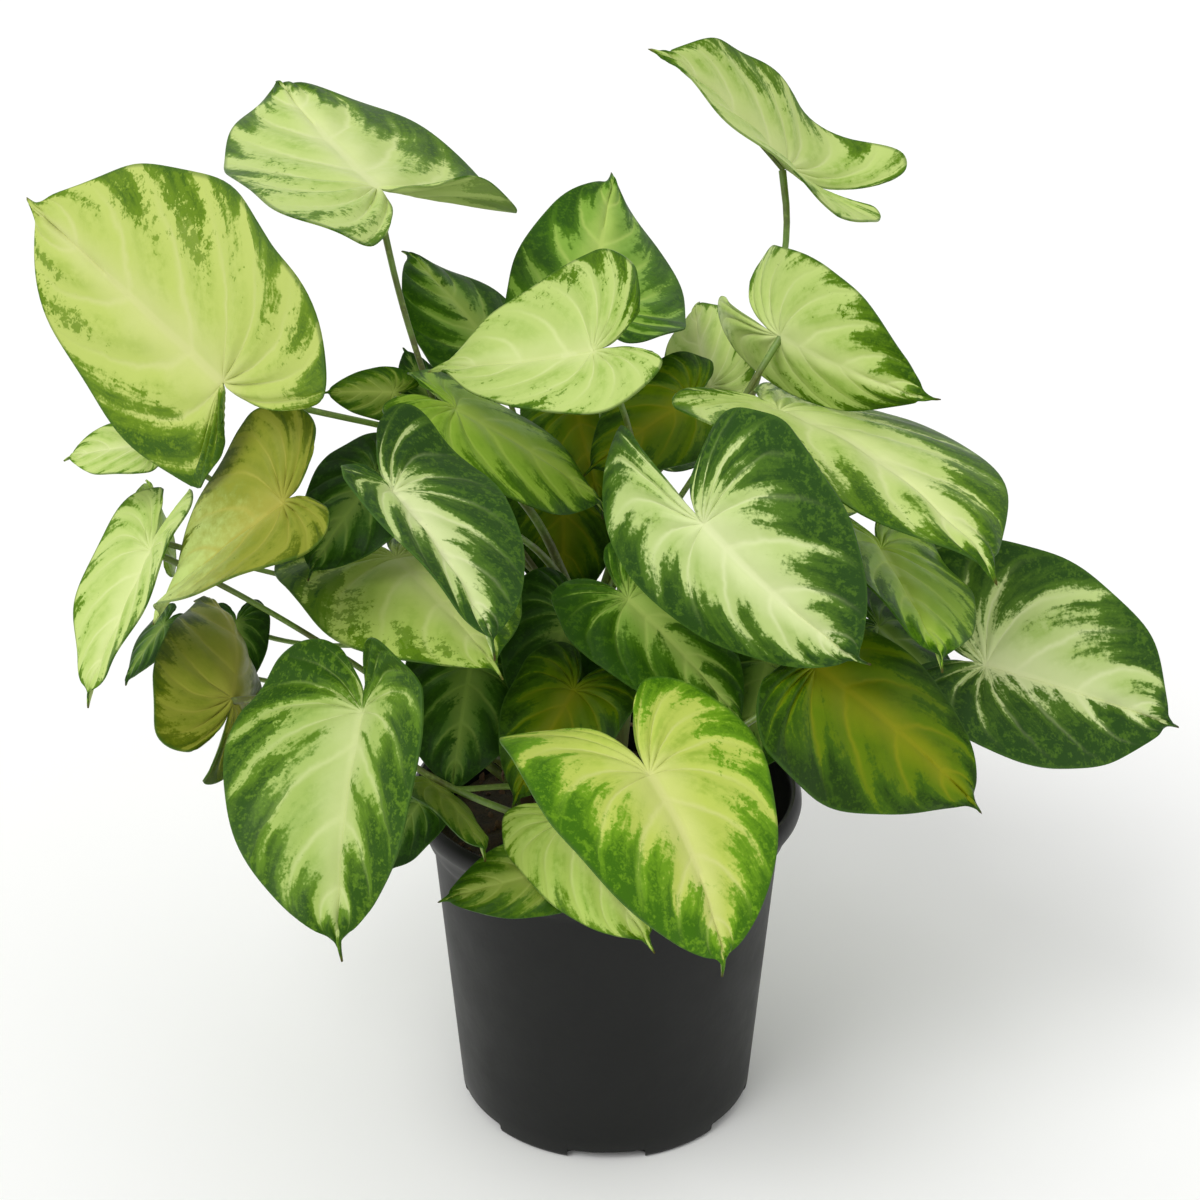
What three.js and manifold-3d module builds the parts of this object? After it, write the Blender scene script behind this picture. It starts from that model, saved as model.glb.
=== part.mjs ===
// Arrowhead plant in a round nursery pot: pot, soil, jointed vine stems and arrow-shaped leaves.
// Millimetres, +Z up. The origin is the middle of the pot's underside, on the surface it stands on.
// Headings turn counter-clockwise seen from above: 0 is +X, 90 is +Y, 180 is -X and -90 is -Y.
import * as THREE from 'three';
import { mergeVertices } from 'three/addons/utils/BufferGeometryUtils.js';
import Module from 'manifold-3d';

const wasm = await Module();
wasm.setup();

// Pot
const potFootRadius = 59;
const potShoulderRadius = 67.9;
const potShoulderHeight = 114;
const potLipRadius = 76.3;
const potLipHeight = 131;
const potHeight = 136;
const potWall = 1.8;
const rimFlare = 2.6;
const rimFlareHeight = 5.5;
const lipRoll = 1.4;
const lipFace = 6;
const lipThickness = 4.6;
const potFloorUnderside = 4.5;
const potFloorTop = 6.7;
const potSides = 36;
const footRingWidth = 5;
const footCount = 6;
const footNotchAngle = 30;
const centrePadRadius = 12;
const edgeBreak = 0.8;
const drainHoleRadius = 5;
const drainHoleCircle = 40;
const drainHoleSides = 12;
const cutMargin = 1;

// Soil
const soilLevel = 119;
const soilCrown = 2;
const soilSlump = 6;
const soilSides = potSides;
const touchGap = 0.3;

// Stems
const stemRadius = 3.2;
const stemSides = 8;
const stemSteps = 6;

// Leaves
const bladeThickness = 1;
const bladeColumns = 2;
const stalkRadius = 1.3;
const stalkSides = 5;
const stalkSteps = 7;
const stalkLean = 0.1;
const stalkArch = 0.35;

// Half outline of a blade, from the end of the back lobe round the side to the tip.
// First number: share of the half width. Second: share of the length, or of the lobe when negative.
const halfOutline = [
  [0.26, -0.84], [0.42, -0.99], [0.62, -0.98], [0.82, -0.76], [0.96, -0.38], [1.00, 0.03],
  [0.96, 0.27], [0.84, 0.48], [0.65, 0.67], [0.41, 0.82], [0.17, 0.93], [0.04, 0.97], [0, 1],
];
const notchBulge = 0.07;
const firstVein = 0.18;
// Rows of vertices, as places along the half outline. The first ones fan out from the stalk.
const lobeRows = [0, 1, 2.5, 4.2];
const midribRows = [5.5, 7, 8.4, 9.8, 12];

const colours = {
  pot: { color: 0x26292a, roughness: 0.55, metalness: 0 },
  soil: { color: 0x2c2119, roughness: 1, metalness: 0 },
  stem: { color: 0x5d5a34, roughness: 0.6, metalness: 0 },
  pale: { color: 0xb9cf78, roughness: 0.45, metalness: 0 },
  mixed: { color: 0x86ad5c, roughness: 0.45, metalness: 0 },
  dark: { color: 0x3f6a33, roughness: 0.45, metalness: 0 },
  olive: { color: 0x8a8f3a, roughness: 0.45, metalness: 0 },
};

// Stems: foot on the soil, top, and how far the middle bows outwards.
const stems = {
  stem_middle: { foot: [4, 6], top: [8, 4, 192], bow: 4 },
  stem_left: { foot: [-30, -4], top: [-42, -8, 184], bow: 5 },
  stem_right: { foot: [32, 2], top: [40, -8, 168], bow: 5 },
  stem_front: { foot: [0, -34], top: [-6, -44, 162], bow: 5 },
  stem_back: { foot: [-4, 42], top: [-8, 54, 188], bow: 5 },
};

// Leaves. at: where the stalk meets the blade. turn: heading, rise and roll of the blade, degrees.
// size: length from the stalk to the tip, width of the left and right half, and length of the left
// and right back lobe.
// form: bend along the length, bends of the left and right lobes, fold along the midrib, twist, degrees.
// grows: the stem that carries the leaf and the height of its stalk's foot on it.
// stalk: how far it runs up its stem as a share of its reach, how far it sways aside in millimetres,
// and how much lower than straight it points where it meets the blade.
const leaves = {
  leaf_far_upper_left: {
    at: [-131, -36, 309], turn: [142, 27, -90], size: [106, 48, 62, 8, 42], form: [0, -10, 10, 0, 25],
    grows: ['stem_back', 182], stalk: [0.5, 0, 0.2], tone: 'pale' },
  leaf_top_left: {
    at: [-86, 59, 356], turn: [115, 10, 9], size: [124, 50, 54, 56, 32], form: [-5, 10, -65, 5, -20],
    grows: ['stem_back', 162], stalk: [0.2, 25, -1], tone: 'mixed' },
  leaf_top_right: {
    at: [69, 77, 360], turn: [216, 38, -38], size: [77, 40, 33, 38, 61], form: [10, -45, -66, -20, -10],
    grows: ['stem_back', 142], stalk: [0.3, -25, -4], tone: 'pale' },
  leaf_upper_right: {
    at: [63, 18, 310], turn: [-35, -12, 95], size: [62, 31, 24, 36, 54], form: [25, 40, 40, 15, 10],
    grows: ['stem_back', 170], stalk: [0.2, -25, -0.3], tone: 'mixed' },
  leaf_right_long: {
    at: [62, -2, 288], turn: [-55, -13, -14], size: [113, 59, 50, 35, 12], form: [30, -15, -50, 0, 10],
    grows: ['stem_middle', 178], stalk: [0.4, 0, 0.2], tone: 'pale' },
  leaf_left_white: {
    at: [-71, -67, 281], turn: [-56, -27, -18], size: [70, 38, 22, 38, 12], form: [20, -35, -10, -10, 0],
    grows: ['stem_back', 178], stalk: [0.3, 0, 0.2], tone: 'dark' },
  leaf_middle_pale: {
    at: [-5, -1, 310], turn: [158, -12, -46], size: [63, 30, 36, 34, 28], form: [-15, -20, -20, -15, 25],
    grows: ['stem_back', 178], stalk: [0.3, 25, 0.2], tone: 'pale' },
  leaf_middle_large: {
    at: [32, -71, 271], turn: [-15, -39, 95], size: [70, 46, 34, 24, 60], form: [30, 45, 60, 0, 0],
    grows: ['stem_back', 174], stalk: [0.3, 25, 0.2], tone: 'mixed' },
  leaf_top_middle: {
    at: [-6, 70, 309], turn: [83, 25, 2], size: [80, 35, 38, 32, 22], form: [-5, 10, 0, 10, 35],
    grows: ['stem_middle', 174], stalk: [0.4, 0, -0.3], tone: 'dark' },
  leaf_top_dark: {
    at: [-47, 100, 283], turn: [134, 30, -9], size: [59, 27, 28, 25, 25], form: [15, 10, 10, 10, 10],
    grows: ['stem_back', 162], stalk: [0.4, 0, 0.2], tone: 'dark' },
  leaf_right_mint: {
    at: [42, 80, 272], turn: [95, 25, -53], size: [51, 23, 24, 21, 16], form: [25, 10, 20, 0, 15],
    grows: ['stem_back', 182], stalk: [0.6, -12, 0.2], tone: 'pale' },
  leaf_inner_green: {
    at: [-55, 10, 285], turn: [20, -38, 17], size: [72, 34, 34, 16, 30], form: [15, 0, 10, 10, 15],
    grows: ['stem_left', 162], stalk: [0.4, -25, 0.2], tone: 'mixed' },
  leaf_small_far_left: {
    at: [-168, 10, 271], turn: [170, -12, -24], size: [34, 15, 17, 6, 14], form: [15, 15, 10, 0, -10],
    grows: ['stem_left', 158], stalk: [0.2, -12, 0.2], tone: 'pale' },
  leaf_small_upright_left: {
    at: [-170, 20, 230], turn: [108, 25, 56], size: [31, 14, 14, 13, 13], form: [10, 10, 10, 10, 0],
    grows: ['stem_left', 126], stalk: [0.6, -12, 0.2], tone: 'pale' },
  leaf_hanging_left: {
    at: [-167, -10, 237], turn: [-126, -52, 18], size: [57, 27, 28, 24, 24], form: [5, 10, 10, -15, -5],
    grows: ['stem_left', 138], stalk: [0.2, 0, 0.2], tone: 'pale' },
  leaf_olive_left: {
    at: [-111, -48, 270], turn: [-188, -42, -38], size: [66, 33, 35, 15, 24], form: [15, 20, 0, -15, 35],
    grows: ['stem_back', 170], stalk: [0.4, -60, -0.5], tone: 'olive' },
  leaf_mottled_left: {
    at: [-77, -9, 234], turn: [-60, -9, 0], size: [79, 37, 44, 32, 34], form: [10, 10, 5, 5, 15],
    grows: ['stem_back', 162], stalk: [0.4, 0, 0.2], tone: 'mixed' },
  leaf_olive_low_left: {
    at: [-137, -30, 187], turn: [109, 11, 47], size: [71, 30, 27, 29, 34], form: [60, -5, 40, 30, -15],
    grows: ['stem_left', 150], stalk: [0.4, 0, 0.2], tone: 'olive' },
  leaf_front_left: {
    at: [-82, -90, 211], turn: [-96, -51, 36], size: [78, 39, 49, 29, 28], form: [20, -65, -30, -15, -25],
    grows: ['stem_front', 126], stalk: [0.2, 0, -1], tone: 'mixed' },
  leaf_front_large: {
    at: [14, -110, 198], turn: [-56, -50, 1], size: [67, 40, 43, 34, 48], form: [45, 0, 55, -5, -5],
    grows: ['stem_front', 154], stalk: [0.4, 0, 0.2], tone: 'pale' },
  leaf_olive_right: {
    at: [72, -66, 217], turn: [0, -43, 25], size: [81, 37, 41, 33, 16], form: [15, 10, 20, 15, 45],
    grows: ['stem_front', 146], stalk: [0.4, -25, -0.3], tone: 'olive' },
  leaf_far_right: {
    at: [141, -17, 194], turn: [3, -20, 48], size: [77, 47, 38, 35, 30], form: [10, 5, 5, -20, 25],
    grows: ['stem_right', 126], stalk: [0.4, -12, 0.2], tone: 'mixed' },
  leaf_olive_upper_right: {
    at: [99, -20, 242], turn: [-79, -12, -29], size: [67, 33, 31, 34, 20], form: [5, -15, 20, -5, 5],
    grows: ['stem_middle', 170], stalk: [0.4, 0, 0.2], tone: 'olive' },
  leaf_inner_back_left: {
    at: [-12, 76, 264], turn: [-75, -38, 13], size: [48, 23, 23, 20, 20], form: [20, 10, 10, 5, 0],
    grows: ['stem_middle', 166], stalk: [0.5, -25, 0.2], tone: 'olive' },
  leaf_inner_back_right: {
    at: [32, 52, 275], turn: [-154, -27, -37], size: [48, 23, 23, 20, 20], form: [20, 10, 10, 5, 0],
    grows: ['stem_back', 178], stalk: [0.3, 0, 0.2], tone: 'olive' },
  leaf_young_left: {
    at: [-80, 30, 285], turn: [180, 0, -50], size: [25, 11, 11, 10, 10], form: [15, 10, 10, 10, 0],
    grows: ['stem_left', 174], stalk: [0.4, -25, 0.2], tone: 'mixed' },
  leaf_young_middle: {
    at: [-69, 46, 279], turn: [130, 48, -15], size: [20, 9, 9, 8, 8], form: [15, 10, 10, 10, 0],
    grows: ['stem_back', 178], stalk: [0.2, 0, -0.3], tone: 'dark' },
  leaf_glossy_left: {
    at: [-83, -12, 266], turn: [-136, -42, -18], size: [42, 23, 23, 18, 18], form: [25, 10, 10, 5, 0],
    grows: ['stem_back', 150], stalk: [0.4, -25, 0.2], tone: 'dark' },
  leaf_shade_left: {
    at: [-51, -10, 190], turn: [-98, -40, 0], size: [50, 26, 26, 20, 20], form: [20, 10, 10, 5, 0],
    grows: ['stem_left', 174], stalk: [0.4, 0, 0.2], tone: 'dark' },
  leaf_rim_dark: {
    at: [-68, -54, 156], turn: [-159, -57, -25], size: [30, 13, 13, 8, 8], form: [15, 10, 10, 15, 0],
    grows: ['stem_left', 146], stalk: [0.4, 0, 0.2], tone: 'dark' },
  leaf_rim_pale_edge: {
    at: [-61, -64, 169], turn: [-66, -1, -30], size: [49, 13, 13, 12, 12], form: [15, 10, 10, 15, 0],
    grows: ['stem_front', 134], stalk: [0.6, -12, -0.3], tone: 'pale' },
  leaf_rim_small: {
    at: [-19, -94, 152], turn: [-171, -12, -39], size: [38, 15, 15, 12, 12], form: [15, 10, 10, 5, 0],
    grows: ['stem_front', 126], stalk: [0.4, 0, 0.2], tone: 'olive' },
  leaf_front_under: {
    at: [-14, -85, 166], turn: [-51, -31, 26], size: [52, 23, 23, 18, 18], form: [20, 10, 10, 5, 0],
    grows: ['stem_front', 142], stalk: [0.4, 0, 0.2], tone: 'pale' },
  leaf_dark_right: {
    at: [122, 22, 224], turn: [-30, -42, 17], size: [36, 17, 17, 14, 14], form: [15, 10, 10, 5, 0],
    grows: ['stem_right', 162], stalk: [0.5, 0, 0.2], tone: 'dark' },
  leaf_glossy_right: {
    at: [104, 7, 199], turn: [-15, -43, 14], size: [48, 24, 24, 20, 20], form: [20, 10, 10, 5, 0],
    grows: ['stem_right', 150], stalk: [0.4, -12, 0.2], tone: 'dark' },
  leaf_inner_striped: {
    at: [8, -20, 222], turn: [-29, -40, 22], size: [62, 28, 28, 22, 22], form: [20, 10, 10, 5, 0],
    grows: ['stem_middle', 178], stalk: [0.4, 0, 0.2], tone: 'mixed' },
  leaf_inner_dark_right: {
    at: [46, 22, 204], turn: [-54, -49, 13], size: [50, 25, 25, 20, 20], form: [20, 10, 10, 5, 0],
    grows: ['stem_middle', 166], stalk: [0.4, 0, 0.2], tone: 'dark' },
  leaf_shade_middle: {
    at: [-12, -30, 190], turn: [-128, -42, -19], size: [46, 23, 23, 18, 18], form: [20, 10, 10, 5, 0],
    grows: ['stem_front', 158], stalk: [0.4, 0, 0.2], tone: 'olive' },
  leaf_shade_back: {
    at: [-14, 1, 206], turn: [-115, -39, -24], size: [46, 24, 24, 20, 20], form: [20, 10, 10, 5, 0],
    grows: ['stem_middle', 186], stalk: [0.4, 0, 0.2], tone: 'dark' },
  leaf_shade_right: {
    at: [60, -17, 195], turn: [-115, -39, -24], size: [50, 24, 24, 20, 20], form: [20, 10, 10, 5, 0],
    grows: ['stem_right', 162], stalk: [0.4, 0, 0.2], tone: 'dark' },
  leaf_inner_core: {
    at: [-17, 72, 227], turn: [-93, -76, 0], size: [46, 24, 24, 17, 17], form: [15, 10, 10, 5, 0],
    grows: ['stem_back', 170], stalk: [0.3, -25, 0.2], tone: 'olive' },
  leaf_small_low_left: {
    at: [-173, 24, 192], turn: [-150, -50, 0], size: [26, 12, 12, 9, 9], form: [15, 10, 10, 5, 0],
    grows: ['stem_left', 146], stalk: [0.4, 0, -1], tone: 'dark' },
  leaf_small_shade_left: {
    at: [-146, 33, 189], turn: [-80, -50, 10], size: [28, 13, 13, 10, 10], form: [15, 10, 10, 5, 0],
    grows: ['stem_left', 166], stalk: [0.4, -25, -1], tone: 'dark' },
  leaf_back_left: {
    at: [-66, 96, 232], turn: [128, -14, 8], size: [82, 40, 40, 32, 32], form: [25, 10, 10, 10, 0],
    grows: ['stem_back', 178], stalk: [0.4, 12, -0.3], tone: 'mixed' },
  leaf_back_middle: {
    at: [8, 122, 236], turn: [86, -20, -6], size: [84, 42, 42, 34, 34], form: [30, 10, 10, 10, 0],
    grows: ['stem_back', 178], stalk: [0.4, 0, 0.2], tone: 'mixed' },
  leaf_back_right: {
    at: [78, 92, 226], turn: [46, -16, -8], size: [80, 40, 40, 32, 32], form: [25, 10, 10, 10, 0],
    grows: ['stem_right', 150], stalk: [0.4, 0, 0.2], tone: 'pale' },
  leaf_back_low_left: {
    at: [-40, 88, 176], turn: [112, -28, 6], size: [64, 32, 32, 26, 26], form: [30, 10, 10, 10, 0],
    grows: ['stem_back', 134], stalk: [0.4, 0, 0.2], tone: 'dark' },
  leaf_back_low_right: {
    at: [36, 92, 172], turn: [66, -28, -6], size: [64, 31, 31, 26, 26], form: [30, 10, 10, 10, 0],
    grows: ['stem_back', 126], stalk: [0.4, 0, 0.2], tone: 'pale' },
};

const radians = THREE.MathUtils.degToRad;

function material(tone) {
  return new THREE.MeshStandardMaterial(colours[tone]);
}

function named(name, geometry, tone) {
  const mesh = new THREE.Mesh(geometry, material(tone));
  mesh.name = name;
  return mesh;
}

// A closed mesh as a solid that can be joined and cut.
function solidFrom(geometry) {
  const bare = geometry.clone();
  bare.deleteAttribute('normal');
  bare.deleteAttribute('uv');
  const merged = mergeVertices(bare, 1e-4);
  const vertProperties = new Float32Array(merged.attributes.position.array);
  const triVerts = new Uint32Array(merged.index.array);
  return new wasm.Manifold(new wasm.Mesh({ numProp: 3, vertProperties, triVerts }));
}

function geometryFrom(solid) {
  const mesh = solid.getMesh();
  const geometry = new THREE.BufferGeometry();
  geometry.setAttribute('position', new THREE.BufferAttribute(new Float32Array(mesh.vertProperties), 3));
  geometry.setIndex(new THREE.BufferAttribute(new Uint32Array(mesh.triVerts), 1));
  geometry.computeVertexNormals();
  return geometry;
}

// A round bar of one radius along a curve.
function barAlong(curve, radius, sides, steps) {
  const section = new THREE.Shape();
  for (let i = 0; i < sides; i += 1) {
    const angle = (i / sides) * 2 * Math.PI;
    const x = radius * Math.cos(angle);
    const y = radius * Math.sin(angle);
    if (i === 0) section.moveTo(x, y);
    else section.lineTo(x, y);
  }
  section.closePath();
  return new THREE.ExtrudeGeometry(section, { steps, extrudePath: curve, bevelEnabled: false });
}

// ---- pot ----

function turned(profile, sides) {
  const points = profile.map(([r, z]) => new THREE.Vector2(r, z));
  const geometry = new THREE.LatheGeometry(points, sides);
  geometry.rotateX(Math.PI / 2);
  return geometry;
}

function outerRadiusAt(z) {
  return potFootRadius + (potShoulderRadius - potFootRadius) * (z / potShoulderHeight);
}

function potGeometry() {
  const inner = (z) => outerRadiusAt(z) - potWall;
  const shell = solidFrom(turned([
    [0, 0],
    [centrePadRadius, 0],
    [centrePadRadius + 1, potFloorUnderside],
    [potFootRadius - footRingWidth, potFloorUnderside],
    [potFootRadius - footRingWidth, 0],
    [potFootRadius - edgeBreak, 0],
    [potFootRadius, edgeBreak],
    [potShoulderRadius, potShoulderHeight],
    [potShoulderRadius + rimFlare, potShoulderHeight + rimFlareHeight],
    [potLipRadius - lipRoll, potLipHeight - lipFace],
    [potLipRadius, potLipHeight],
    [potLipRadius - lipRoll / 2, potHeight - 2],
    [potLipRadius - lipThickness / 2, potHeight],
    [potLipRadius - lipThickness + edgeBreak, potHeight - edgeBreak],
    [potLipRadius - lipThickness, potHeight - 3],
    [inner(potShoulderHeight) + potWall, potShoulderHeight + rimFlareHeight],
    [inner(potShoulderHeight), potShoulderHeight],
    [inner(potFloorTop), potFloorTop],
    [0, potFloorTop],
  ], potSides));
  return geometryFrom(cutFeetAndDrains(shell));
}

// Notches between the feet, and a drain hole through the floor behind each notch.
function cutFeetAndDrains(shell) {
  let pot = shell;
  const pitch = 360 / footCount;
  for (let i = 0; i < footCount; i += 1) {
    const middle = -90 + i * pitch;
    pot = pot.subtract(solidFrom(notchGeometry(middle)));
    pot = pot.subtract(solidFrom(drainGeometry(middle)));
  }
  return pot;
}

function notchGeometry(middle) {
  const wedge = new THREE.Shape();
  const innerReach = potFootRadius - footRingWidth - cutMargin;
  const outerReach = potFootRadius + 4 * cutMargin;
  const low = radians(middle - footNotchAngle / 2);
  const high = radians(middle + footNotchAngle / 2);
  wedge.moveTo(innerReach * Math.cos(low), innerReach * Math.sin(low));
  wedge.lineTo(outerReach * Math.cos(low), outerReach * Math.sin(low));
  wedge.lineTo(outerReach * Math.cos(high), outerReach * Math.sin(high));
  wedge.lineTo(innerReach * Math.cos(high), innerReach * Math.sin(high));
  wedge.closePath();
  const depth = potFloorUnderside + cutMargin;
  const geometry = new THREE.ExtrudeGeometry(wedge, { depth, bevelEnabled: false });
  geometry.translate(0, 0, -cutMargin);
  return geometry;
}

function drainGeometry(middle) {
  const height = potFloorTop + cutMargin;
  const geometry = new THREE.CylinderGeometry(drainHoleRadius, drainHoleRadius, height, drainHoleSides);
  geometry.rotateX(Math.PI / 2);
  const angle = radians(middle);
  geometry.translate(drainHoleCircle * Math.cos(angle), drainHoleCircle * Math.sin(angle), height / 2);
  return geometry;
}

// ---- soil ----

function soilGeometry() {
  const reach = (z) => outerRadiusAt(z) - potWall - touchGap;
  const bottom = potFloorTop + touchGap;
  return turned([
    [0, bottom],
    [reach(bottom), bottom],
    [reach(soilLevel - soilSlump), soilLevel - soilSlump],
    [reach(soilLevel) * 0.85, soilLevel],
    [reach(soilLevel) * 0.75, soilLevel + soilCrown],
    [0, soilLevel + soilCrown],
  ], soilSides);
}

// ---- stems ----

function stemCurve(stem) {
  const foot = new THREE.Vector3(stem.foot[0], stem.foot[1], soilLevel + soilCrown + touchGap);
  const top = new THREE.Vector3(...stem.top);
  const outward = new THREE.Vector3(stem.foot[0], stem.foot[1], 0).normalize();
  const knee = foot.clone().setZ(foot.z + (top.z - foot.z) / 3);
  const middle = foot.clone().lerp(top, 2 / 3).addScaledVector(outward, stem.bow);
  return new THREE.CubicBezierCurve3(foot, knee, middle, top);
}

// The point of a stem's middle line at a height, and its direction there.
function stemPlace(stem, height) {
  const curve = stemCurve(stem);
  let low = 0;
  let high = 1;
  for (let i = 0; i < 30; i += 1) {
    const half = (low + high) / 2;
    if (curve.getPoint(half).z < height) low = half;
    else high = half;
  }
  return { point: curve.getPoint(low), along: curve.getTangent(low) };
}

// ---- leaves ----

// The blade's own directions: along the midrib to the tip, to its right, and up out of its face.
function bladeAxes([heading, rise, roll]) {
  const h = radians(heading);
  const p = radians(rise);
  const along = new THREE.Vector3(Math.cos(h) * Math.cos(p), Math.sin(h) * Math.cos(p), Math.sin(p));
  const level = new THREE.Vector3(-Math.cos(h) * Math.sin(p), -Math.sin(h) * Math.sin(p), Math.cos(p));
  const side = new THREE.Vector3().crossVectors(along, level);
  const r = radians(roll);
  const up = level.clone().multiplyScalar(Math.cos(r)).addScaledVector(side, Math.sin(r));
  const right = side.clone().multiplyScalar(Math.cos(r)).addScaledVector(level, -Math.sin(r));
  return { along, right, up };
}

// A point of the flat blade, x to the right and y to the tip, bent into its real shape.
function bentPoint(leaf, axes, x, y, lift) {
  const [length, , , leftLobe, rightLobe] = leaf.size;
  const [bend, leftBend, rightBend, fold, twist] = leaf.form.map(radians);
  const lobe = x < 0 ? leftLobe : rightLobe;
  const lobeBend = x < 0 ? leftBend : rightBend;
  const turnPerLength = y > 0 ? bend / length : lobeBend / lobe;
  const turn = turnPerLength * y + 1e-9;
  const curveY = Math.sin(turn) / turn * y;
  const curveZ = -(1 - Math.cos(turn)) / turn * y;
  const spin = twist * Math.min(1, Math.max(-0.5, y / length));
  const flatX = x * Math.cos(fold);
  const flatZ = -Math.abs(x) * Math.sin(fold) + lift;
  const acrossX = flatX * Math.cos(spin) + flatZ * Math.sin(spin);
  const acrossZ = flatZ * Math.cos(spin) - flatX * Math.sin(spin);
  const localY = curveY + acrossZ * Math.sin(turn);
  const localZ = curveZ + acrossZ * Math.cos(turn);
  const tip = bend / 2;
  const chordY = localY * Math.cos(tip) - localZ * Math.sin(tip);
  const chordZ = localY * Math.sin(tip) + localZ * Math.cos(tip);
  return new THREE.Vector3(...leaf.at)
    .addScaledVector(axes.right, acrossX)
    .addScaledVector(axes.along, chordY)
    .addScaledVector(axes.up, chordZ);
}

const outlineCurve = new THREE.SplineCurve(halfOutline.map(([u, v]) => new THREE.Vector2(u, v)));

// Flat place of row s (0 back lobe, 1 tip) and column r (0 midrib, 1 margin) on one side.
function flatPlace(leaf, side, s, r) {
  const [length, leftWidth, rightWidth, leftLobe, rightLobe] = leaf.size;
  const width = side < 0 ? leftWidth : rightWidth;
  const lobe = side < 0 ? leftLobe : rightLobe;
  const edge = outlineCurve.getPoint(s);
  const edgeX = edge.x * width;
  const edgeY = edge.y > 0 ? edge.y * length : edge.y * lobe;
  const start = Math.max(0, (edge.y - firstVein) / (1 - firstVein));
  const ribY = length * start ** 1.5;
  const bulge = Math.max(0, 1 - 8 * s) * notchBulge * width * 4 * r * (1 - r);
  const x = edgeX * r - bulge;
  const y = ribY + (edgeY - ribY) * r;
  return [side * x, y];
}

function bladeGeometry(leaf) {
  const axes = bladeAxes(leaf.turn);
  const rows = [...lobeRows, ...midribRows].map((place) => place / (halfOutline.length - 1));
  const lastRow = rows.length - 1;
  const places = new Map();
  const positions = [];
  const index = [];

  function vertex(side, row, column, top) {
    const onRib = column === 0;
    const atTip = row === lastRow;
    const atStalk = onRib && row < lobeRows.length;
    let key = `${side},${row},${column},${top}`;
    if (onRib) key = `rib,${row},${top}`;
    if (atStalk) key = `stalk,${top}`;
    if (atTip) key = `tip,${top}`;
    if (!places.has(key)) {
      const [x, y] = flatPlace(leaf, side, rows[row], column / bladeColumns);
      const ribX = onRib || atTip ? 0 : x;
      const ribY = atStalk ? 0 : y;
      const lift = (top ? 1 : -1) * bladeThickness / 2;
      const point = bentPoint(leaf, axes, ribX, ribY, lift);
      places.set(key, positions.length / 3);
      positions.push(point.x, point.y, point.z);
    }
    return places.get(key);
  }

  function triangle(a, b, c, flip) {
    if (a === b || b === c || a === c) return;
    if (flip) index.push(a, c, b);
    else index.push(a, b, c);
  }

  for (const side of [1, -1]) {
    for (let row = 0; row < lastRow; row += 1) {
      for (let column = 0; column < bladeColumns; column += 1) {
        for (const top of [true, false]) {
          const a = vertex(side, row, column, top);
          const b = vertex(side, row, column + 1, top);
          const c = vertex(side, row + 1, column + 1, top);
          const d = vertex(side, row + 1, column, top);
          const flip = (side > 0) !== top;
          triangle(a, b, c, flip);
          triangle(a, c, d, flip);
        }
      }
    }
    const rim = [];
    for (let column = 0; column <= bladeColumns; column += 1) rim.push([0, column]);
    for (let row = 1; row <= lastRow; row += 1) rim.push([row, bladeColumns]);
    for (let i = 0; i + 1 < rim.length; i += 1) {
      const a = vertex(side, ...rim[i], true);
      const b = vertex(side, ...rim[i + 1], true);
      const c = vertex(side, ...rim[i + 1], false);
      const d = vertex(side, ...rim[i], false);
      triangle(a, d, c, side < 0);
      triangle(a, c, b, side < 0);
    }
  }
  const geometry = new THREE.BufferGeometry();
  geometry.setAttribute('position', new THREE.BufferAttribute(new Float32Array(positions), 3));
  geometry.setIndex(index);
  return geometry;
}

// A stalk starts beside its stem, runs up along it and then arches over to the blade.
function stalkCurve(leaf) {
  const [stemName, height] = leaf.grows;
  const [rise, sway, droop] = leaf.stalk;
  const place = stemPlace(stems[stemName], height);
  const joint = new THREE.Vector3(...leaf.at);
  const outward = joint.clone().sub(place.point).setZ(0).normalize();
  outward.addScaledVector(place.along, -outward.dot(place.along)).normalize();
  const foot = place.point.clone().addScaledVector(outward, stemRadius + stalkRadius + touchGap);
  const reach = joint.distanceTo(foot);
  const aside = new THREE.Vector3(-outward.y, outward.x, 0).normalize().multiplyScalar(sway);
  const arrival = joint.clone().sub(foot).normalize();
  arrival.z -= droop;
  arrival.normalize();
  const firstPull = foot.clone().add(aside);
  firstPull.addScaledVector(place.along, reach * rise);
  firstPull.addScaledVector(outward, reach * stalkLean);
  const secondPull = joint.clone().add(aside);
  secondPull.addScaledVector(arrival, -reach * stalkArch);
  return new THREE.CubicBezierCurve3(foot, firstPull, secondPull, joint);
}

function leafGeometry(leaf) {
  const blade = solidFrom(bladeGeometry(leaf));
  const stalk = solidFrom(barAlong(stalkCurve(leaf), stalkRadius, stalkSides, stalkSteps));
  return geometryFrom(blade.add(stalk));
}

// ---- assembly ----

const group = new THREE.Group();
group.add(named('pot', potGeometry(), 'pot'));
group.add(named('soil', soilGeometry(), 'soil'));
for (const [name, stem] of Object.entries(stems)) {
  group.add(named(name, barAlong(stemCurve(stem), stemRadius, stemSides, stemSteps), 'stem'));
}
for (const [name, leaf] of Object.entries(leaves)) {
  group.add(named(name, leafGeometry(leaf), leaf.tone));
}

export default group;
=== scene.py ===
import math
import random

import bpy
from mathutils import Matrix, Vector, noise


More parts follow.
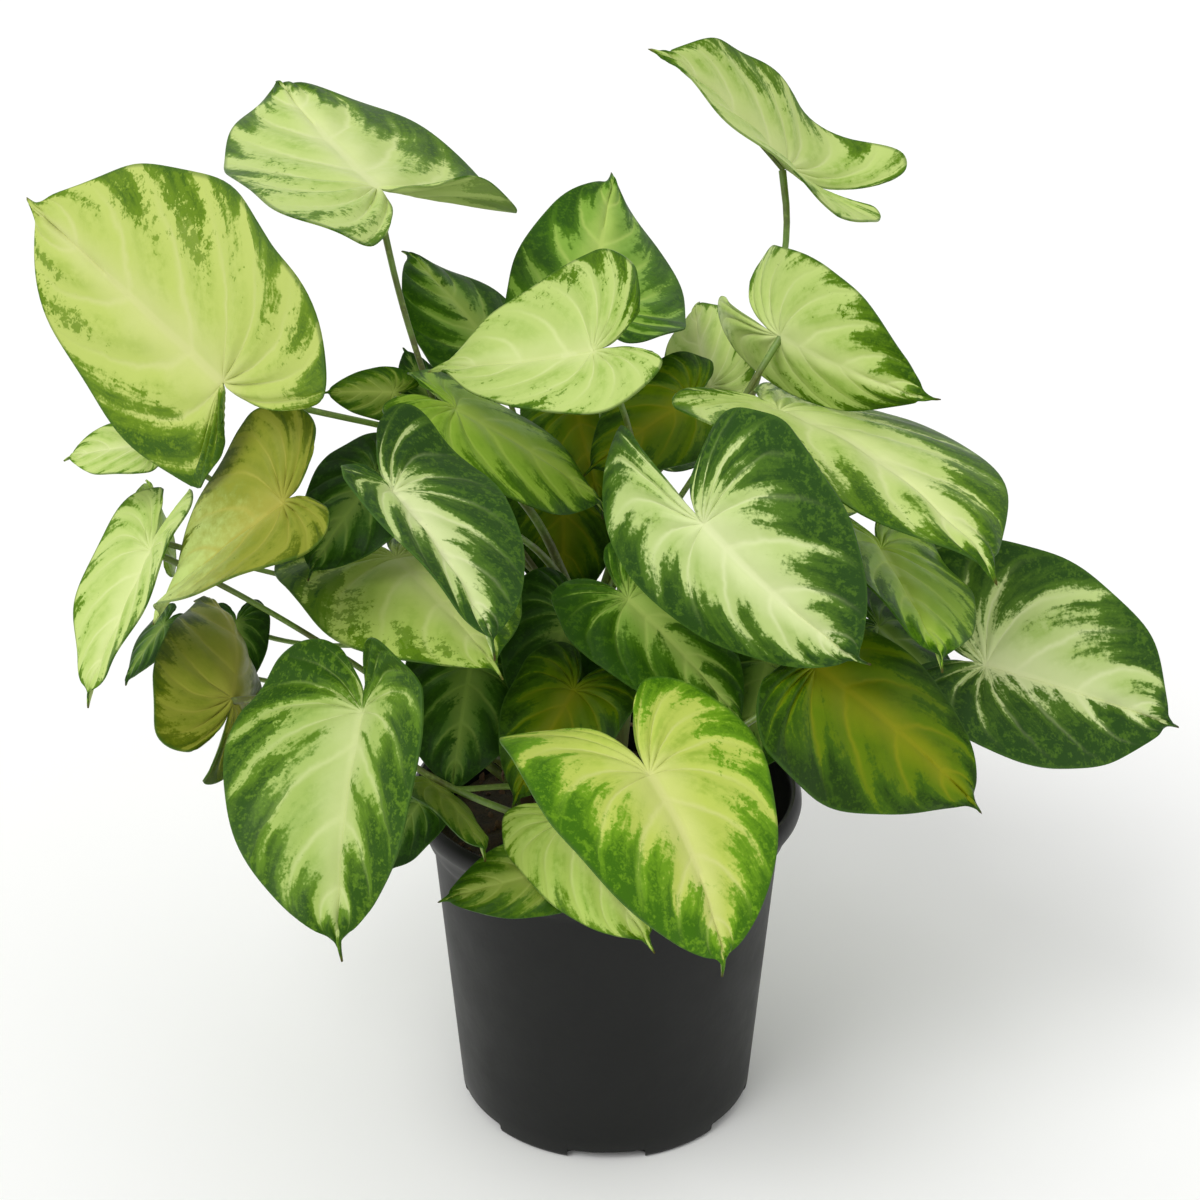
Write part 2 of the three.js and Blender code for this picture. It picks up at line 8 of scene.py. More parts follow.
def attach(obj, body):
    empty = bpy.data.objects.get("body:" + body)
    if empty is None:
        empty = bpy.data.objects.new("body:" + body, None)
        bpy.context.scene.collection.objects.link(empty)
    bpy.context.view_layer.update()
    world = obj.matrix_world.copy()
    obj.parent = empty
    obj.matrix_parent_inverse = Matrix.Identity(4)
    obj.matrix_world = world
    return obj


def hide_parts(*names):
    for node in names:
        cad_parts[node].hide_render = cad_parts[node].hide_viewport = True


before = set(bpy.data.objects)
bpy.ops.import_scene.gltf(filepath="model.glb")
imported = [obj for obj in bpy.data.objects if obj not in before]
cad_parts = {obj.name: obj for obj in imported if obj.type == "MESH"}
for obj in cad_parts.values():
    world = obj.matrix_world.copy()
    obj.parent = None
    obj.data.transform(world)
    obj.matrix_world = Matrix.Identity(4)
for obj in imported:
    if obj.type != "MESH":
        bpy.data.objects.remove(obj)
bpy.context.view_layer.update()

# Arrowhead plant in a nursery pot. Sizes in the dictionaries are millimetres, mm turns them into metres.
mm = 0.001
bpy.context.scene.view_settings.view_transform = "Standard"


def inMetres(sizes):
    return [size * mm for size in sizes]


def toMode(mode):
    bpy.ops.object.mode_set(mode=mode)


def clearSelection():
    if bpy.context.object and bpy.context.object.mode != "OBJECT":
        toMode("OBJECT")
    bpy.ops.object.select_all(action="DESELECT")


def onlySelect(piece, *others):
    clearSelection()
    for other in others:
        other.select_set(True)
    piece.select_set(True)
    bpy.context.view_layer.objects.active = piece


def tint(code):  # a screen colour such as "8fa040" on the shader's own scale
    shares = [int(code[i:i + 2], 16) / 255 for i in (0, 2, 4)]
    return [c / 12.92 if c < 0.04045 else ((c + 0.055) / 1.055) ** 2.4 for c in shares] + [1]


def hang(piece, slot, *nodes):  # ties a finished piece to the frame
    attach(piece, "root")
    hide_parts(*nodes)


def joinInto(piece, *others):
    onlySelect(piece, *others)
    bpy.ops.object.join()
    return piece


def smoothFaces(piece, degrees=50):
    onlySelect(piece)
    bpy.ops.object.shade_smooth_by_angle(angle=math.radians(degrees))


def bakePlace():  # the place and turn of the selected piece go into its mesh
    bpy.ops.object.transform_apply(location=True, rotation=True, scale=True)


def dress(piece, *finishes):
    piece.data.materials.clear()
    for finish in finishes:
        piece.data.materials.append(finish)


def mergeDoubles(piece, distance):
    onlySelect(piece)
    toMode("EDIT")
    bpy.ops.mesh.select_all(action="SELECT")
    bpy.ops.mesh.remove_doubles(threshold=distance)
    toMode("OBJECT")


def applyModifier(piece, kind, **settings):
    onlySelect(piece)
    bpy.ops.object.modifier_add(type=kind)
    modifier = piece.modifiers[-1]
    for key, value in settings.items():
        setattr(modifier, key, value)
    bpy.ops.object.modifier_apply(modifier=modifier.name)


# A round shoot along a path of points, with a radius at each of them, all in millimetres.
def growTube(path, radii, sides=10, steps=3):
    clearSelection()
    bpy.ops.curve.primitive_bezier_curve_add(location=(0, 0, 0))
    shoot = bpy.context.object
    toMode("EDIT")
    bpy.ops.curve.select_all(action="SELECT")
    bpy.ops.curve.subdivide(number_cuts=len(path) - 2)
    toMode("OBJECT")
    for knot, place, radius in zip(shoot.data.splines[0].bezier_points, path, radii):
        knot.handle_left_type = knot.handle_right_type = "AUTO"
        knot.co = Vector(place) * mm
        knot.radius = radius
    shoot.data.resolution_u = steps
    shoot.data.bevel_depth = mm
    shoot.data.bevel_resolution = sides // 2 - 2
    shoot.data.use_fill_caps = True
    bpy.ops.object.convert(target="MESH")
    return bpy.context.object


def newFinish(name):
    finish = bpy.data.materials.new(name)
    finish.use_nodes = True
    return finish, finish.node_tree, finish.node_tree.nodes["Principled BSDF"]


def put(tree, kind, sockets=None, **settings):  # one shader node, with its sockets filled or linked
    item = tree.nodes.new("ShaderNode" + kind)
    for key, value in settings.items():
        setattr(item, key, value)
    for socket, value in (sockets or {}).items():
        if isinstance(value, bpy.types.NodeSocket):
            tree.links.new(value, item.inputs[socket])
        else:
            item.inputs[socket].default_value = value
    return item


def calc(tree, operation, *values, clamp=False):
    return put(tree, "Math", dict(enumerate(values)), operation=operation, use_clamp=clamp).outputs[0]


def times(tree, first, second):
    return calc(tree, "MULTIPLY", first, second)


def scaled(tree, value, gain, base, clamp=False):  # value * gain + base
    return calc(tree, "MULTIPLY_ADD", value, gain, base, clamp=clamp)


def blendColours(tree, share, first, second):
    return put(tree, "Mix", {0: share, 6: first, 7: second}, data_type="RGBA").outputs[2]


def ease(tree, value, low, high, start=0.0, end=1.0):  # a soft step between low and high
    sockets = {0: value, 1: low, 2: high, 3: start, 4: end}
    return put(tree, "MapRange", sockets, interpolation_type="SMOOTHSTEP").outputs[0]


def grain(tree, place, scale, detail=2.0, roughness=0.5):
    sockets = {"Vector": place, "Scale": scale, "Detail": detail, "Roughness": roughness}
    return put(tree, "TexNoise", sockets).outputs[0]


def relief(tree, shader, height, strength, distance):
    sockets = {"Height": height, "Strength": strength, "Distance": distance}
    tree.links.new(put(tree, "Bump", sockets).outputs[0], shader.inputs["Normal"])


def paint(tree, shader, colour, roughness):
    tree.links.new(colour, shader.inputs["Base Color"])
    tree.links.new(roughness, shader.inputs["Roughness"])


def objectPlace(tree):
    return put(tree, "TexCoord").outputs["Object"]


potLook = dict(
    sides=144, footRadius=59, shoulderRadius=67.9, shoulderHeight=114, lipRadius=76.3,
    wall=1.8, lipThickness=4.6, floorTop=6.7, floorUnderside=4.5,
    footRing=5, padRadius=12, feet=6, notchAngle=30, notchDepth=13, notchRound=1.0,
    holeRadius=5, holeCircle=40, holeLength=12, holeSides=32, edgeRound=0.3,
    colour="0a0c0a", dusty="232420", dustLow=16, dustHigh=(118, 136), roughness=(0.4, 0.56), gloss=0.28)


def potOutside(z):  # radius of the tapered wall at a height
    slope = (potLook["shoulderRadius"] - potLook["footRadius"]) / potLook["shoulderHeight"]
    return potLook["footRadius"] + slope * z


def potProfile():  # from the centre pad up the outside, over the lip and down the inside
    p = potLook
    outer = potOutside
    inner = lambda z: outer(z) - p["wall"]
    foot, under, lip = p["footRadius"], p["floorUnderside"], p["lipRadius"]
    ring, rim = foot - p["footRing"], lip - p["lipThickness"]
    steps = [
        (p["padRadius"], 0), (p["padRadius"] + 1, under), (ring, under), (ring, 0.4), (ring + 0.4, 0),
        (foot - 2.2, 0), (foot - 1.2, 0.3), (foot - 0.4, 1.1), (outer(2.4), 2.4)]
    steps += [(outer(z), z) for z in range(10, 112, 10)]
    steps += [
        (outer(112.6), 112.6), (outer(114), 114.2), (outer(115) + 0.5, 115.6), (outer(117) + 1.7, 117.6),
        (outer(119) + 2.4, 119.2), (outer(121) + 2.8, 121.2), (lip - 3.6, 125.4), (lip - 1.6, 127.4),
        (lip - 0.5, 129.2), (lip, 131.2), (lip - 0.1, 132.8), (lip - 0.7, 134.3), (lip - 1.6, 135.4),
        (lip - 2.6, 136), (lip - 3.5, 135.7), (rim + 0.2, 134.6), (rim, 132.6), (rim - 0.4, 126),
        (inner(120) + 1.8, 120), (inner(114), 114)]
    steps += [(inner(z), z) for z in range(100, 10, -15)]
    steps += [(inner(9), 9), (inner(8) - 1, 7.2), (inner(8) - 2, p["floorTop"])]
    return steps


# The wall goes up the outside and down the inside, one ring raised out of the last.
def raiseWall(steps, sides):
    clearSelection()
    radius, height = steps[0]
    bpy.ops.mesh.primitive_circle_add(vertices=sides, radius=radius * mm, location=(0, 0, height * mm))
    bakePlace()
    toMode("EDIT")
    bpy.ops.mesh.select_all(action="SELECT")
    bpy.ops.mesh.select_mode(type="EDGE")
    for nextRadius, nextHeight in steps[1:]:
        bpy.ops.mesh.extrude_edges_move(
            TRANSFORM_OT_translate={"value": (0, 0, (nextHeight - height) * mm)})
        grow = nextRadius / radius
        bpy.ops.transform.resize(value=(grow, grow, 1), center_override=(0, 0, nextHeight * mm))
        radius, height = nextRadius, nextHeight
    bpy.ops.mesh.edge_face_add()
    toMode("OBJECT")
    wall = bpy.context.object
    openRing = [v.index for v in wall.data.vertices if v.index < sides]
    onlySelect(wall)
    toMode("EDIT")
    bpy.ops.mesh.select_all(action="DESELECT")
    bpy.ops.mesh.select_mode(type="VERT")
    toMode("OBJECT")
    for index in openRing:
        wall.data.vertices[index].select = True
    toMode("EDIT")
    bpy.ops.mesh.edge_face_add()
    bpy.ops.mesh.select_all(action="SELECT")
    bpy.ops.mesh.normals_make_consistent(inside=False)
    toMode("OBJECT")
    return wall


def potCutters():  # six notches between the feet and a drain hole behind each
    p = potLook
    cutters = []
    for step in range(p["feet"]):
        angle = math.radians(-90 + step * 360 / p["feet"])
        reach = p["footRadius"] * mm
        clearSelection()
        width = 2 * p["footRadius"] * math.sin(math.radians(p["notchAngle"] / 2)) * mm
        place = (math.cos(angle) * reach, math.sin(angle) * reach, 0)
        bpy.ops.mesh.primitive_cube_add(size=1, location=place, rotation=(0, 0, angle))
        size = (p["notchDepth"] * mm, width, 2 * p["floorUnderside"] * mm)
        bpy.ops.transform.resize(value=size, orient_type="LOCAL")
        notch = bpy.context.object
        bakePlace()
        applyModifier(notch, "BEVEL", width=p["notchRound"] * mm, segments=3)
        cutters.append(notch)
        hole = (math.cos(angle) * p["holeCircle"] * mm, math.sin(angle) * p["holeCircle"] * mm, 5 * mm)
        clearSelection()
        bpy.ops.mesh.primitive_cylinder_add(
            vertices=p["holeSides"], radius=p["holeRadius"] * mm, depth=p["holeLength"] * mm, location=hole)
        bakePlace()
        cutters.append(bpy.context.object)
    return cutters


def potFinish():
    finish, tree, shader = newFinish("charcoalPlastic")
    place = objectPlace(tree)
    height = put(tree, "SeparateXYZ", {0: place}).outputs[2]
    clouds = grain(tree, place, 26, 4, 0.6)
    specks = grain(tree, place, 420, 2, 0.6)
    low = ease(tree, height, potLook["dustLow"] * mm, 0.0, 0, 0.35)  # dust near the feet
    high = ease(tree, height, *inMetres(potLook["dustHigh"]), 0, 0.22)  # and on the rim
    dust = times(tree, calc(tree, "ADD", low, high), ease(tree, clouds, 0.35, 0.7))
    dust = calc(tree, "ADD", dust, ease(tree, specks, 0.6, 0.85, 0, 0.12))
    colour = blendColours(tree, dust, tint(potLook["colour"]), tint(potLook["dusty"]))
    paint(tree, shader, colour, ease(tree, clouds, 0.2, 0.8, *potLook["roughness"]))
    relief(tree, shader, scaled(tree, specks, 0.4, clouds), 0.25, 0.4 * mm)
    shader.inputs["Specular IOR Level"].default_value = potLook["gloss"]
    return finish


pot = raiseWall(potProfile(), potLook["sides"])
cutters = potCutters()
tool = joinInto(cutters[0], *cutters[1:])
applyModifier(pot, "BOOLEAN", object=tool, operation="DIFFERENCE", solver="EXACT", use_self=True)
onlySelect(tool)
bpy.ops.object.delete()
applyModifier(pot, "BEVEL", width=potLook["edgeRound"] * mm, segments=2,
              limit_method="ANGLE", angle_limit=math.radians(55))
smoothFaces(pot, 35)
pot.name = "nurseryPot"
dress(pot, potFinish())
hang(pot, "pot_plastic", "pot")
print("pot made", len(pot.data.polygons), "faces")


mixLook = dict(
    level=119, crown=2, sides=144, rings=26, clearance=0.3,
    slump=6, slumpFrom=0.72,  # how far the edge sinks, and from which share of the radius
    rough=1.5, lump=9, clod=3.2,  # height of the lumps, and the widths of large and small ones
    crumbs=420, crumbKinds=5, smallest=0.7, largest=1.7, seed=4,
    dark="1d1712", light="4a3a2b", chip="6a4d33")


def potInside(z):  # radius of the mix at a height
    return potOutside(z) - potLook["wall"] - mixLook["clearance"]


def mixHeight(x, y):  # millimetres, over the whole top of the mix
    m = mixLook
    share = math.hypot(x, y) / potInside(m["level"])
    sunk = 0.9 * max(0, share - m["slumpFrom"]) ** 2 / (1 - m["slumpFrom"]) ** 2
    lumps = noise.noise(Vector((x, y, 7)) / m["lump"]) + 0.6 * noise.noise(Vector((x, y, 3)) / m["clod"])
    return m["level"] + m["crown"] - m["slump"] * sunk + m["rough"] * lumps * min(1, (1.02 - share) * 6)


def mixBody():
    m = mixLook
    bottom = potLook["floorTop"] + m["clearance"]
    rim = m["level"] - m["slump"]
    mix = raiseWall([(potInside(bottom), bottom), (potInside(60), 60), (potInside(rim), rim)], m["sides"])
    onlySelect(mix)
    toMode("EDIT")
    bpy.ops.mesh.select_mode(type="FACE")
    bpy.ops.mesh.select_all(action="DESELECT")
    toMode("OBJECT")
    for face in mix.data.polygons:
        face.select = face.normal.z > 0.9 and face.center.z > 50 * mm
    toMode("EDIT")
    for ring in range(m["rings"]):
        bpy.ops.mesh.inset(thickness=potInside(rim) / (m["rings"] + 1) * mm)
    bpy.ops.mesh.merge(type="CENTER")
    toMode("OBJECT")
    for v in mix.data.vertices:
        if v.co.z > (rim - 1) * mm:
            v.co.z = mixHeight(v.co.x / mm, v.co.y / mm) * mm
    return mix


def crumbKinds():  # round grains, flat bark and two finer chips
    kinds = []
    for kind in range(mixLook["crumbKinds"]):
        clearSelection()
        bpy.ops.mesh.primitive_ico_sphere_add(subdivisions=1 if kind < 3 else 2, radius=1, location=(0, 0, 0))
        crumb = bpy.context.object
        for v in crumb.data.vertices:
            swell = 1 + 0.55 * noise.noise(v.co * 1.3 + Vector((kind * 7, 0, 0)))
            wide, thick = (1.5, 0.55) if kind % 2 else (1, 0.8)
            v.co = Vector((v.co.x * wide, v.co.y, v.co.z * thick)) * swell
        kinds.append(crumb)
    return kinds


def scatterCrumbs():
    m = mixLook
    draw = random.Random(m["seed"])
    kinds = crumbKinds()
    crumbs = []
    for count in range(m["crumbs"]):
        share = draw.random() ** 0.55
        angle = draw.random() * 2 * math.pi
        reach = share * (potInside(m["level"]) - 4)
        x, y = reach * math.cos(angle), reach * math.sin(angle)
        size = m["smallest"] + m["largest"] * draw.random() ** 3
        kind = kinds[count % m["crumbKinds"]]
        crumb = kind.copy()
        crumb.data = kind.data.copy()
        bpy.context.collection.objects.link(crumb)
        crumb.rotation_euler = (draw.random() * 1.2, draw.random() * 1.2, draw.random() * 6)
        crumb.scale = (size * mm,) * 3
        crumb.location = (x * mm, y * mm, (mixHeight(x, y) + size * 0.25) * mm)
        crumbs.append(crumb)
    clearSelection()
    for crumb in kinds:
        crumb.select_set(True)
    bpy.ops.object.delete()
    heap = joinInto(crumbs[0], *crumbs[1:])
    bakePlace()
    return heap


def mixFinish(name, dark, light, wet):
    finish, tree, shader = newFinish(name)
    place = objectPlace(tree)
    clods = grain(tree, place, 160, 5, 0.65)
    grit = grain(tree, place, 900, 3, 0.6)
    shade = scaled(tree, grit, 0.5, times(tree, clods, 0.6))
    colour = blendColours(tree, ease(tree, shade, 0.35, 0.75), tint(dark), tint(light))
    paint(tree, shader, colour, ease(tree, clods, 0.3, 0.7, wet, 0.98))
    relief(tree, shader, shade, 0.9, 1.2 * mm)
    return finish


mix = mixBody()
dress(mix, mixFinish("darkMix", mixLook["dark"], mixLook["light"], 0.75))
heap = scatterCrumbs()
dress(heap, mixFinish("barkCrumb", mixLook["light"], mixLook["chip"], 0.7))
smoothFaces(heap, 30)
smoothFaces(mix, 60)
mix = joinInto(mix, heap)
mix.name = "pottingMix"
hang(mix, "potting_mix", "soil")
print("potting mix made", len(mix.data.polygons), "faces")


stems = {  # foot on the mix, top, how far the middle bows outwards
    "middle": dict(foot=(4, 6), top=(8, 4, 192), bow=4),
    "left": dict(foot=(-30, -4), top=(-42, -8, 184), bow=5),
    "right": dict(foot=(32, 2), top=(40, -8, 168), bow=5),
    "front": dict(foot=(0, -34), top=(-6, -44, 162), bow=5),
    "back": dict(foot=(-4, 42), top=(-8, 54, 188), bow=5),
}
stemLook = dict(
    radius=3.2, sides=16, points=40, buried=5, footHeight=121.3,
    knot=0.24, knotLength=1.3, knotApart=3.5, lowestKnot=127,  # rings where leaves grow or grew
    waist=0.1, taperFrom=0.93, taper=9,
    roots=4, rootApart=9, rootEnd=120.5, shortRoot=5, longerBy=8, rootRadii=(0.9, 0.75, 0.6, 0.25), seed=11,
    bark="5b4630", green="6f7f3c", greenFrom=(132, 158), young="8fa04c", youngFrom=(165, 190), root="7a5f3f")


def bezierPoint(curve, t):
    a, b, c, d = curve
    u = 1 - t
    return a * u ** 3 + b * 3 * u * u * t + c * 3 * u * t * t + d * t ** 3


def bezierWay(curve, t):  # its direction
    a, b, c, d = curve
    u = 1 - t
    return ((b - a) * u * u + (c - b) * 2 * u * t + (d - c) * t * t).normalized()


def stemCurve(stem):
    foot = Vector((*stem["foot"], stemLook["footHeight"]))
    top = Vector(stem["top"])
    outward = Vector((*stem["foot"], 0)).normalized()
    knee = Vector((foot.x, foot.y, foot.z + (top.z - foot.z) / 3))
    return foot, knee, foot.lerp(top, 2 / 3) + outward * stem["bow"], top


def stemPlace(stem, height):
    curve = stemCurve(stem)
    low, high = 0, 1
    for _ in range(30):  # halvings
        half = (low + high) / 2
        if bezierPoint(curve, half).z < height:
            low = half
        else:
            high = half
    return bezierPoint(curve, low), bezierWay(curve, low)


def evenPale(share):  # the same reach on both halves, shorter at the tip
    shares = tuple(round(share * part, 2) for part in (1, 1, 1, 1, 0.85, 0.4))
    return shares, shares


# Painted shade: by default a leaf takes the dark colours, so the leaves deep inside the plant are coloured
# darker than their own green, standing for the shade they sit in.
usual = dict(  # where a leaf's row says nothing
    form=(20, 10, 10, 5, 0), stalk=(0.4, 0, 0.2), tone="dark", colours="dark", pale=evenPale(0.25), spots=0.3)

# at: where the stalk meets the blade. turn: heading, rise and roll. size: length, left and right half
# width, left and right lobe. form: bend, bends of the lobes, fold and twist. grows: from which stem, and
# how high. stalk: rise, sway, droop. pale: how far the pale part reaches from the midrib, lobe to tip,
# left half and right half. spots: how mottled. fingers: longer streaks. fresh: from where the tip is young.
leafRows = {
    "far_upper_left": dict(at=(-131, -36, 309), turn=(142, 27, -90), size=(106, 48, 62, 8, 42),
        form=(0, -10, 10, 0, 25), grows=("back", 182), stalk=(0.5, 0, 0.2), tone="pale",
        colours="yellow", pale=((0.22, 0.25, 0.4, 0.68, 0.95, 0.9), (0.7, 0.75, 0.72, 0.7, 0.8, 0.85)),
        spots=1.55),
    "top_left": dict(at=(-86, 59, 356), turn=(115, 10, 9), size=(124, 50, 54, 56, 32),
        form=(-5, 10, -65, 5, -20), grows=("back", 162), stalk=(0.2, 25, -1), tone="mixed",
        colours="mint", pale=((0.9, 0.9, 0.85, 0.75, 0.6, 0.15), (0.85, 0.7, 0.5, 0.5, 0.42, 0.1)),
        spots=1.15),
    "top_right": dict(at=(69, 77, 360), turn=(216, 38, -38), size=(77, 40, 33, 38, 61),
        form=(10, -45, -66, -20, -10), grows=("back", 142), stalk=(0.3, -25, -4), tone="pale",
        colours="mint", pale=((0.9, 1, 1, 1, 0.95, 0.6), (0.85, 0.85, 0.75, 0.8, 0.9, 0.6)), spots=0.9),
    "upper_right": dict(at=(63, 18, 310), turn=(-35, -12, 95), size=(62, 31, 24, 36, 54),
        form=(25, 40, 40, 15, 10), grows=("back", 170), stalk=(0.2, -25, -0.3), tone="mixed",
        colours="mint", pale=((0.8, 0.85, 0.8, 0.65, 0.45, 0.08), (0.95, 0.95, 0.9, 0.72, 0.5, 0.15)),
        spots=1.1),
    "right_long": dict(at=(62, -2, 288), turn=(-55, -13, -14), size=(113, 59, 50, 35, 12),
        form=(30, -15, -50, 0, 10), grows=("middle", 178), tone="pale",
        colours="mint", pale=((0.7, 0.55, 0.52, 0.45, 0.42, 0.2), (0.75, 0.75, 0.7, 0.62, 0.6, 0.2)),
        spots=1.4),
    "left_white": dict(at=(-71, -67, 281), turn=(-56, -27, -18), size=(70, 38, 22, 38, 12),
        form=(20, -35, -10, -10, 0), grows=("back", 178), stalk=(0.3, 0, 0.2),
        colours="white", pale=((0.06, 0.14, 0.24, 0.34, 0.24, 0.06), (0.2, 0.3, 0.32, 0.3, 0.26, 0.06)),
        spots=0.5, fingers=1.6),
    "middle_pale": dict(at=(-5, -1, 310), turn=(158, -12, -46), size=(63, 30, 36, 34, 28),
        form=(-15, -20, -20, -15, 25), grows=("back", 178), stalk=(0.3, 25, 0.2), tone="pale",
        colours="mint", pale=((0.85, 0.9, 0.9, 0.95, 1, 1), (0.75, 0.8, 0.85, 0.9, 1, 1)), spots=1.3),
    "middle_large": dict(at=(32, -71, 271), turn=(-15, -39, 95), size=(70, 46, 34, 24, 60),
        form=(30, 45, 60, 0, 0), grows=("back", 174), stalk=(0.3, 25, 0.2), tone="mixed",
        colours="white", pale=((0.22, 0.3, 0.34, 0.38, 0.32, 0.06), (0.5, 0.55, 0.5, 0.42, 0.42, 0.08)),
        spots=0.55),
    "top_middle": dict(at=(-6, 70, 309), turn=(83, 25, 2), size=(80, 35, 38, 32, 22),
        form=(-5, 10, 0, 10, 35), grows=("middle", 174), stalk=(0.4, 0, -0.3),
        colours="green", pale=((0.4, 0.45, 0.5, 0.42, 0.36, 0.3), (0.5, 0.55, 0.55, 0.55, 0.5, 0.4)),
        spots=0.5),
    "top_dark": dict(at=(-47, 100, 283), turn=(134, 30, -9), size=(59, 27, 28, 25, 25),
        form=(15, 10, 10, 10, 10), grows=("back", 162),
        colours="green", pale=((0.28, 0.3, 0.34, 0.34, 0.25, 0.1), (0.28, 0.3, 0.34, 0.34, 0.25, 0.1)),
        spots=0.5),
    "right_mint": dict(at=(42, 80, 272), turn=(95, 25, -53), size=(51, 23, 24, 21, 16),
        form=(25, 10, 20, 0, 15), grows=("back", 182), stalk=(0.6, -12, 0.2), tone="pale",
        colours="mint", pale=((1, 1, 1, 1, 0.85, 0.5), (0.85, 0.85, 0.75, 0.7, 0.6, 0.4)), spots=0.5),
    "inner_green": dict(at=(-55, 10, 285), turn=(20, -38, 17), size=(72, 34, 34, 16, 30),
        form=(15, 0, 10, 10, 15), grows=("left", 162), stalk=(0.4, -25, 0.2), tone="mixed",
        colours="fresh", pale=((0.7, 0.7, 0.6, 0.6, 0.5, 0.3), (0.7, 0.7, 0.7, 0.7, 0.6, 0.3))),
    "small_far_left": dict(at=(-168, 10, 271), turn=(170, -12, -24), size=(34, 15, 17, 6, 14),
        form=(15, 15, 10, 0, -10), grows=("left", 158), stalk=(0.2, -12, 0.2), tone="pale",
        colours="mint", pale=((1.1, 1.1, 1.1, 1, 0.9, 0.6), (1.1, 1.1, 1, 0.9, 0.8, 0.6)), spots=0.5),
    "small_upright_left": dict(at=(-170, 20, 230), turn=(108, 25, 56), size=(31, 14, 14, 13, 13),
        form=(10, 10, 10, 10, 0), grows=("left", 126), stalk=(0.6, -12, 0.2), tone="pale",
        colours="plain", pale=((0.9, 0.9, 0.9, 0.9, 0.9, 0.7), (0.9, 0.9, 0.8, 0.8, 0.7, 0.5)), spots=0.5),
    "hanging_left": dict(at=(-167, -10, 237), turn=(-126, -52, 18), size=(57, 27, 28, 24, 24),
        form=(5, 10, 10, -15, -5), grows=("left", 138), stalk=(0.2, 0, 0.2), tone="pale",
        colours="mint", pale=((1, 1, 0.9, 0.8, 0.75, 0.6), (0.9, 0.85, 0.75, 0.8, 0.9, 0.7)), spots=1.1),
    "olive_left": dict(at=(-111, -48, 270), turn=(-188, -42, -38), size=(66, 33, 35, 15, 24),
        form=(15, 20, 0, -15, 35), grows=("back", 170), stalk=(0.4, -60, -0.5), tone="olive",
        colours="olive", pale=((0.8, 0.9, 0.9, 0.95, 1.1, 1.1), (0.7, 0.8, 0.8, 0.8, 1, 1.1)), spots=0.8,
        fresh=0.5),
    "mottled_left": dict(at=(-77, -9, 234), turn=(-60, -9, 0), size=(79, 37, 44, 32, 34),
        form=(10, 10, 5, 5, 15), grows=("back", 162), tone="mixed",
        colours="lime", pale=((0.3, 0.35, 0.45, 0.5, 0.5, 0.35), (0.25, 0.5, 0.85, 0.95, 0.9, 0.6)), spots=2),
    "olive_low_left": dict(at=(-137, -30, 187), turn=(109, 11, 47), size=(71, 30, 27, 29, 34),
        form=(60, -5, 40, 30, -15), grows=("left", 150), tone="olive",
        colours="olive", pale=((0.65, 0.75, 0.65, 0.6, 0.4, 0.2), (0.3, 0.35, 0.4, 0.4, 0.3, 0.15)),
        spots=0.9),
    "front_left": dict(at=(-82, -90, 211), turn=(-96, -51, 36), size=(78, 39, 49, 29, 28),
        form=(20, -65, -30, -15, -25), grows=("front", 126), stalk=(0.2, 0, -1), tone="mixed",
        colours="jade", pale=((0.06, 0.15, 0.42, 0.22, 0.16, 0.05), (0.05, 0.1, 0.5, 0.5, 0.4, 0.1)),
        spots=1.5),
    "front_large": dict(at=(14, -110, 198), turn=(-56, -50, 1), size=(67, 40, 43, 34, 48),
        form=(45, 0, 55, -5, -5), grows=("front", 154), tone="pale",
        colours="sunny", pale=((0.6, 0.7, 0.72, 0.56, 0.38, 0.08), (0.75, 0.62, 0.5, 0.38, 0.26, 0.06)),
        spots=1.3),
    "olive_right": dict(at=(72, -66, 217), turn=(0, -43, 25), size=(81, 37, 41, 33, 16),
        form=(15, 10, 20, 15, 45), grows=("front", 146), stalk=(0.4, -25, -0.3), tone="olive",
        colours="amber", pale=((0.55, 0.62, 0.7, 0.62, 0.55, 0.25), (0.32, 0.36, 0.44, 0.48, 0.48, 0.15)),
        spots=1.2),
    "far_right": dict(at=(141, -17, 194), turn=(3, -20, 48), size=(77, 47, 38, 35, 30),
        form=(10, 5, 5, -20, 25), grows=("right", 126), stalk=(0.4, -12, 0.2), tone="mixed",
        colours="white", pale=((0.2, 0.3, 0.42, 0.6, 0.48, 0.08), (0.22, 0.14, 0.16, 0.02, 0.06, 0)),
        spots=0.6),
    "olive_upper_right": dict(at=(99, -20, 242), turn=(-79, -12, -29), size=(67, 33, 31, 34, 20),
        form=(5, -15, 20, -5, 5), grows=("middle", 170), tone="olive",
        colours="fresh", pale=((0.7, 0.7, 0.7, 0.7, 0.6, 0.4), (0.6, 0.6, 0.6, 0.6, 0.5, 0.4)), spots=0.4),
    "inner_back_left": dict(at=(-12, 76, 264), turn=(-75, -38, 13), size=(48, 23, 23, 20, 20),
        grows=("middle", 166), stalk=(0.5, -25, 0.2), tone="olive",
        colours="amber", pale=evenPale(0.6), spots=0.4),
    "inner_back_right": dict(at=(32, 52, 275), turn=(-154, -27, -37), size=(48, 23, 23, 20, 20),
        grows=("back", 178), stalk=(0.3, 0, 0.2), tone="olive",
        colours="amber", pale=evenPale(0.6), spots=0.4),
    "young_left": dict(at=(-80, 30, 285), turn=(180, 0, -50), size=(25, 11, 11, 10, 10),
        form=(15, 10, 10, 10, 0), grows=("left", 174), stalk=(0.4, -25, 0.2), tone="mixed",
        colours="moss", pale=evenPale(0.6), spots=0.5),
    "young_middle": dict(at=(-69, 46, 279), turn=(130, 48, -15), size=(20, 9, 9, 8, 8),
        form=(15, 10, 10, 10, 0), grows=("back", 178), stalk=(0.2, 0, -0.3)),
    "glossy_left": dict(at=(-83, -12, 266), turn=(-136, -42, -18), size=(42, 23, 23, 18, 18),
        form=(25, 10, 10, 5, 0), grows=("back", 150), stalk=(0.4, -25, 0.2)),
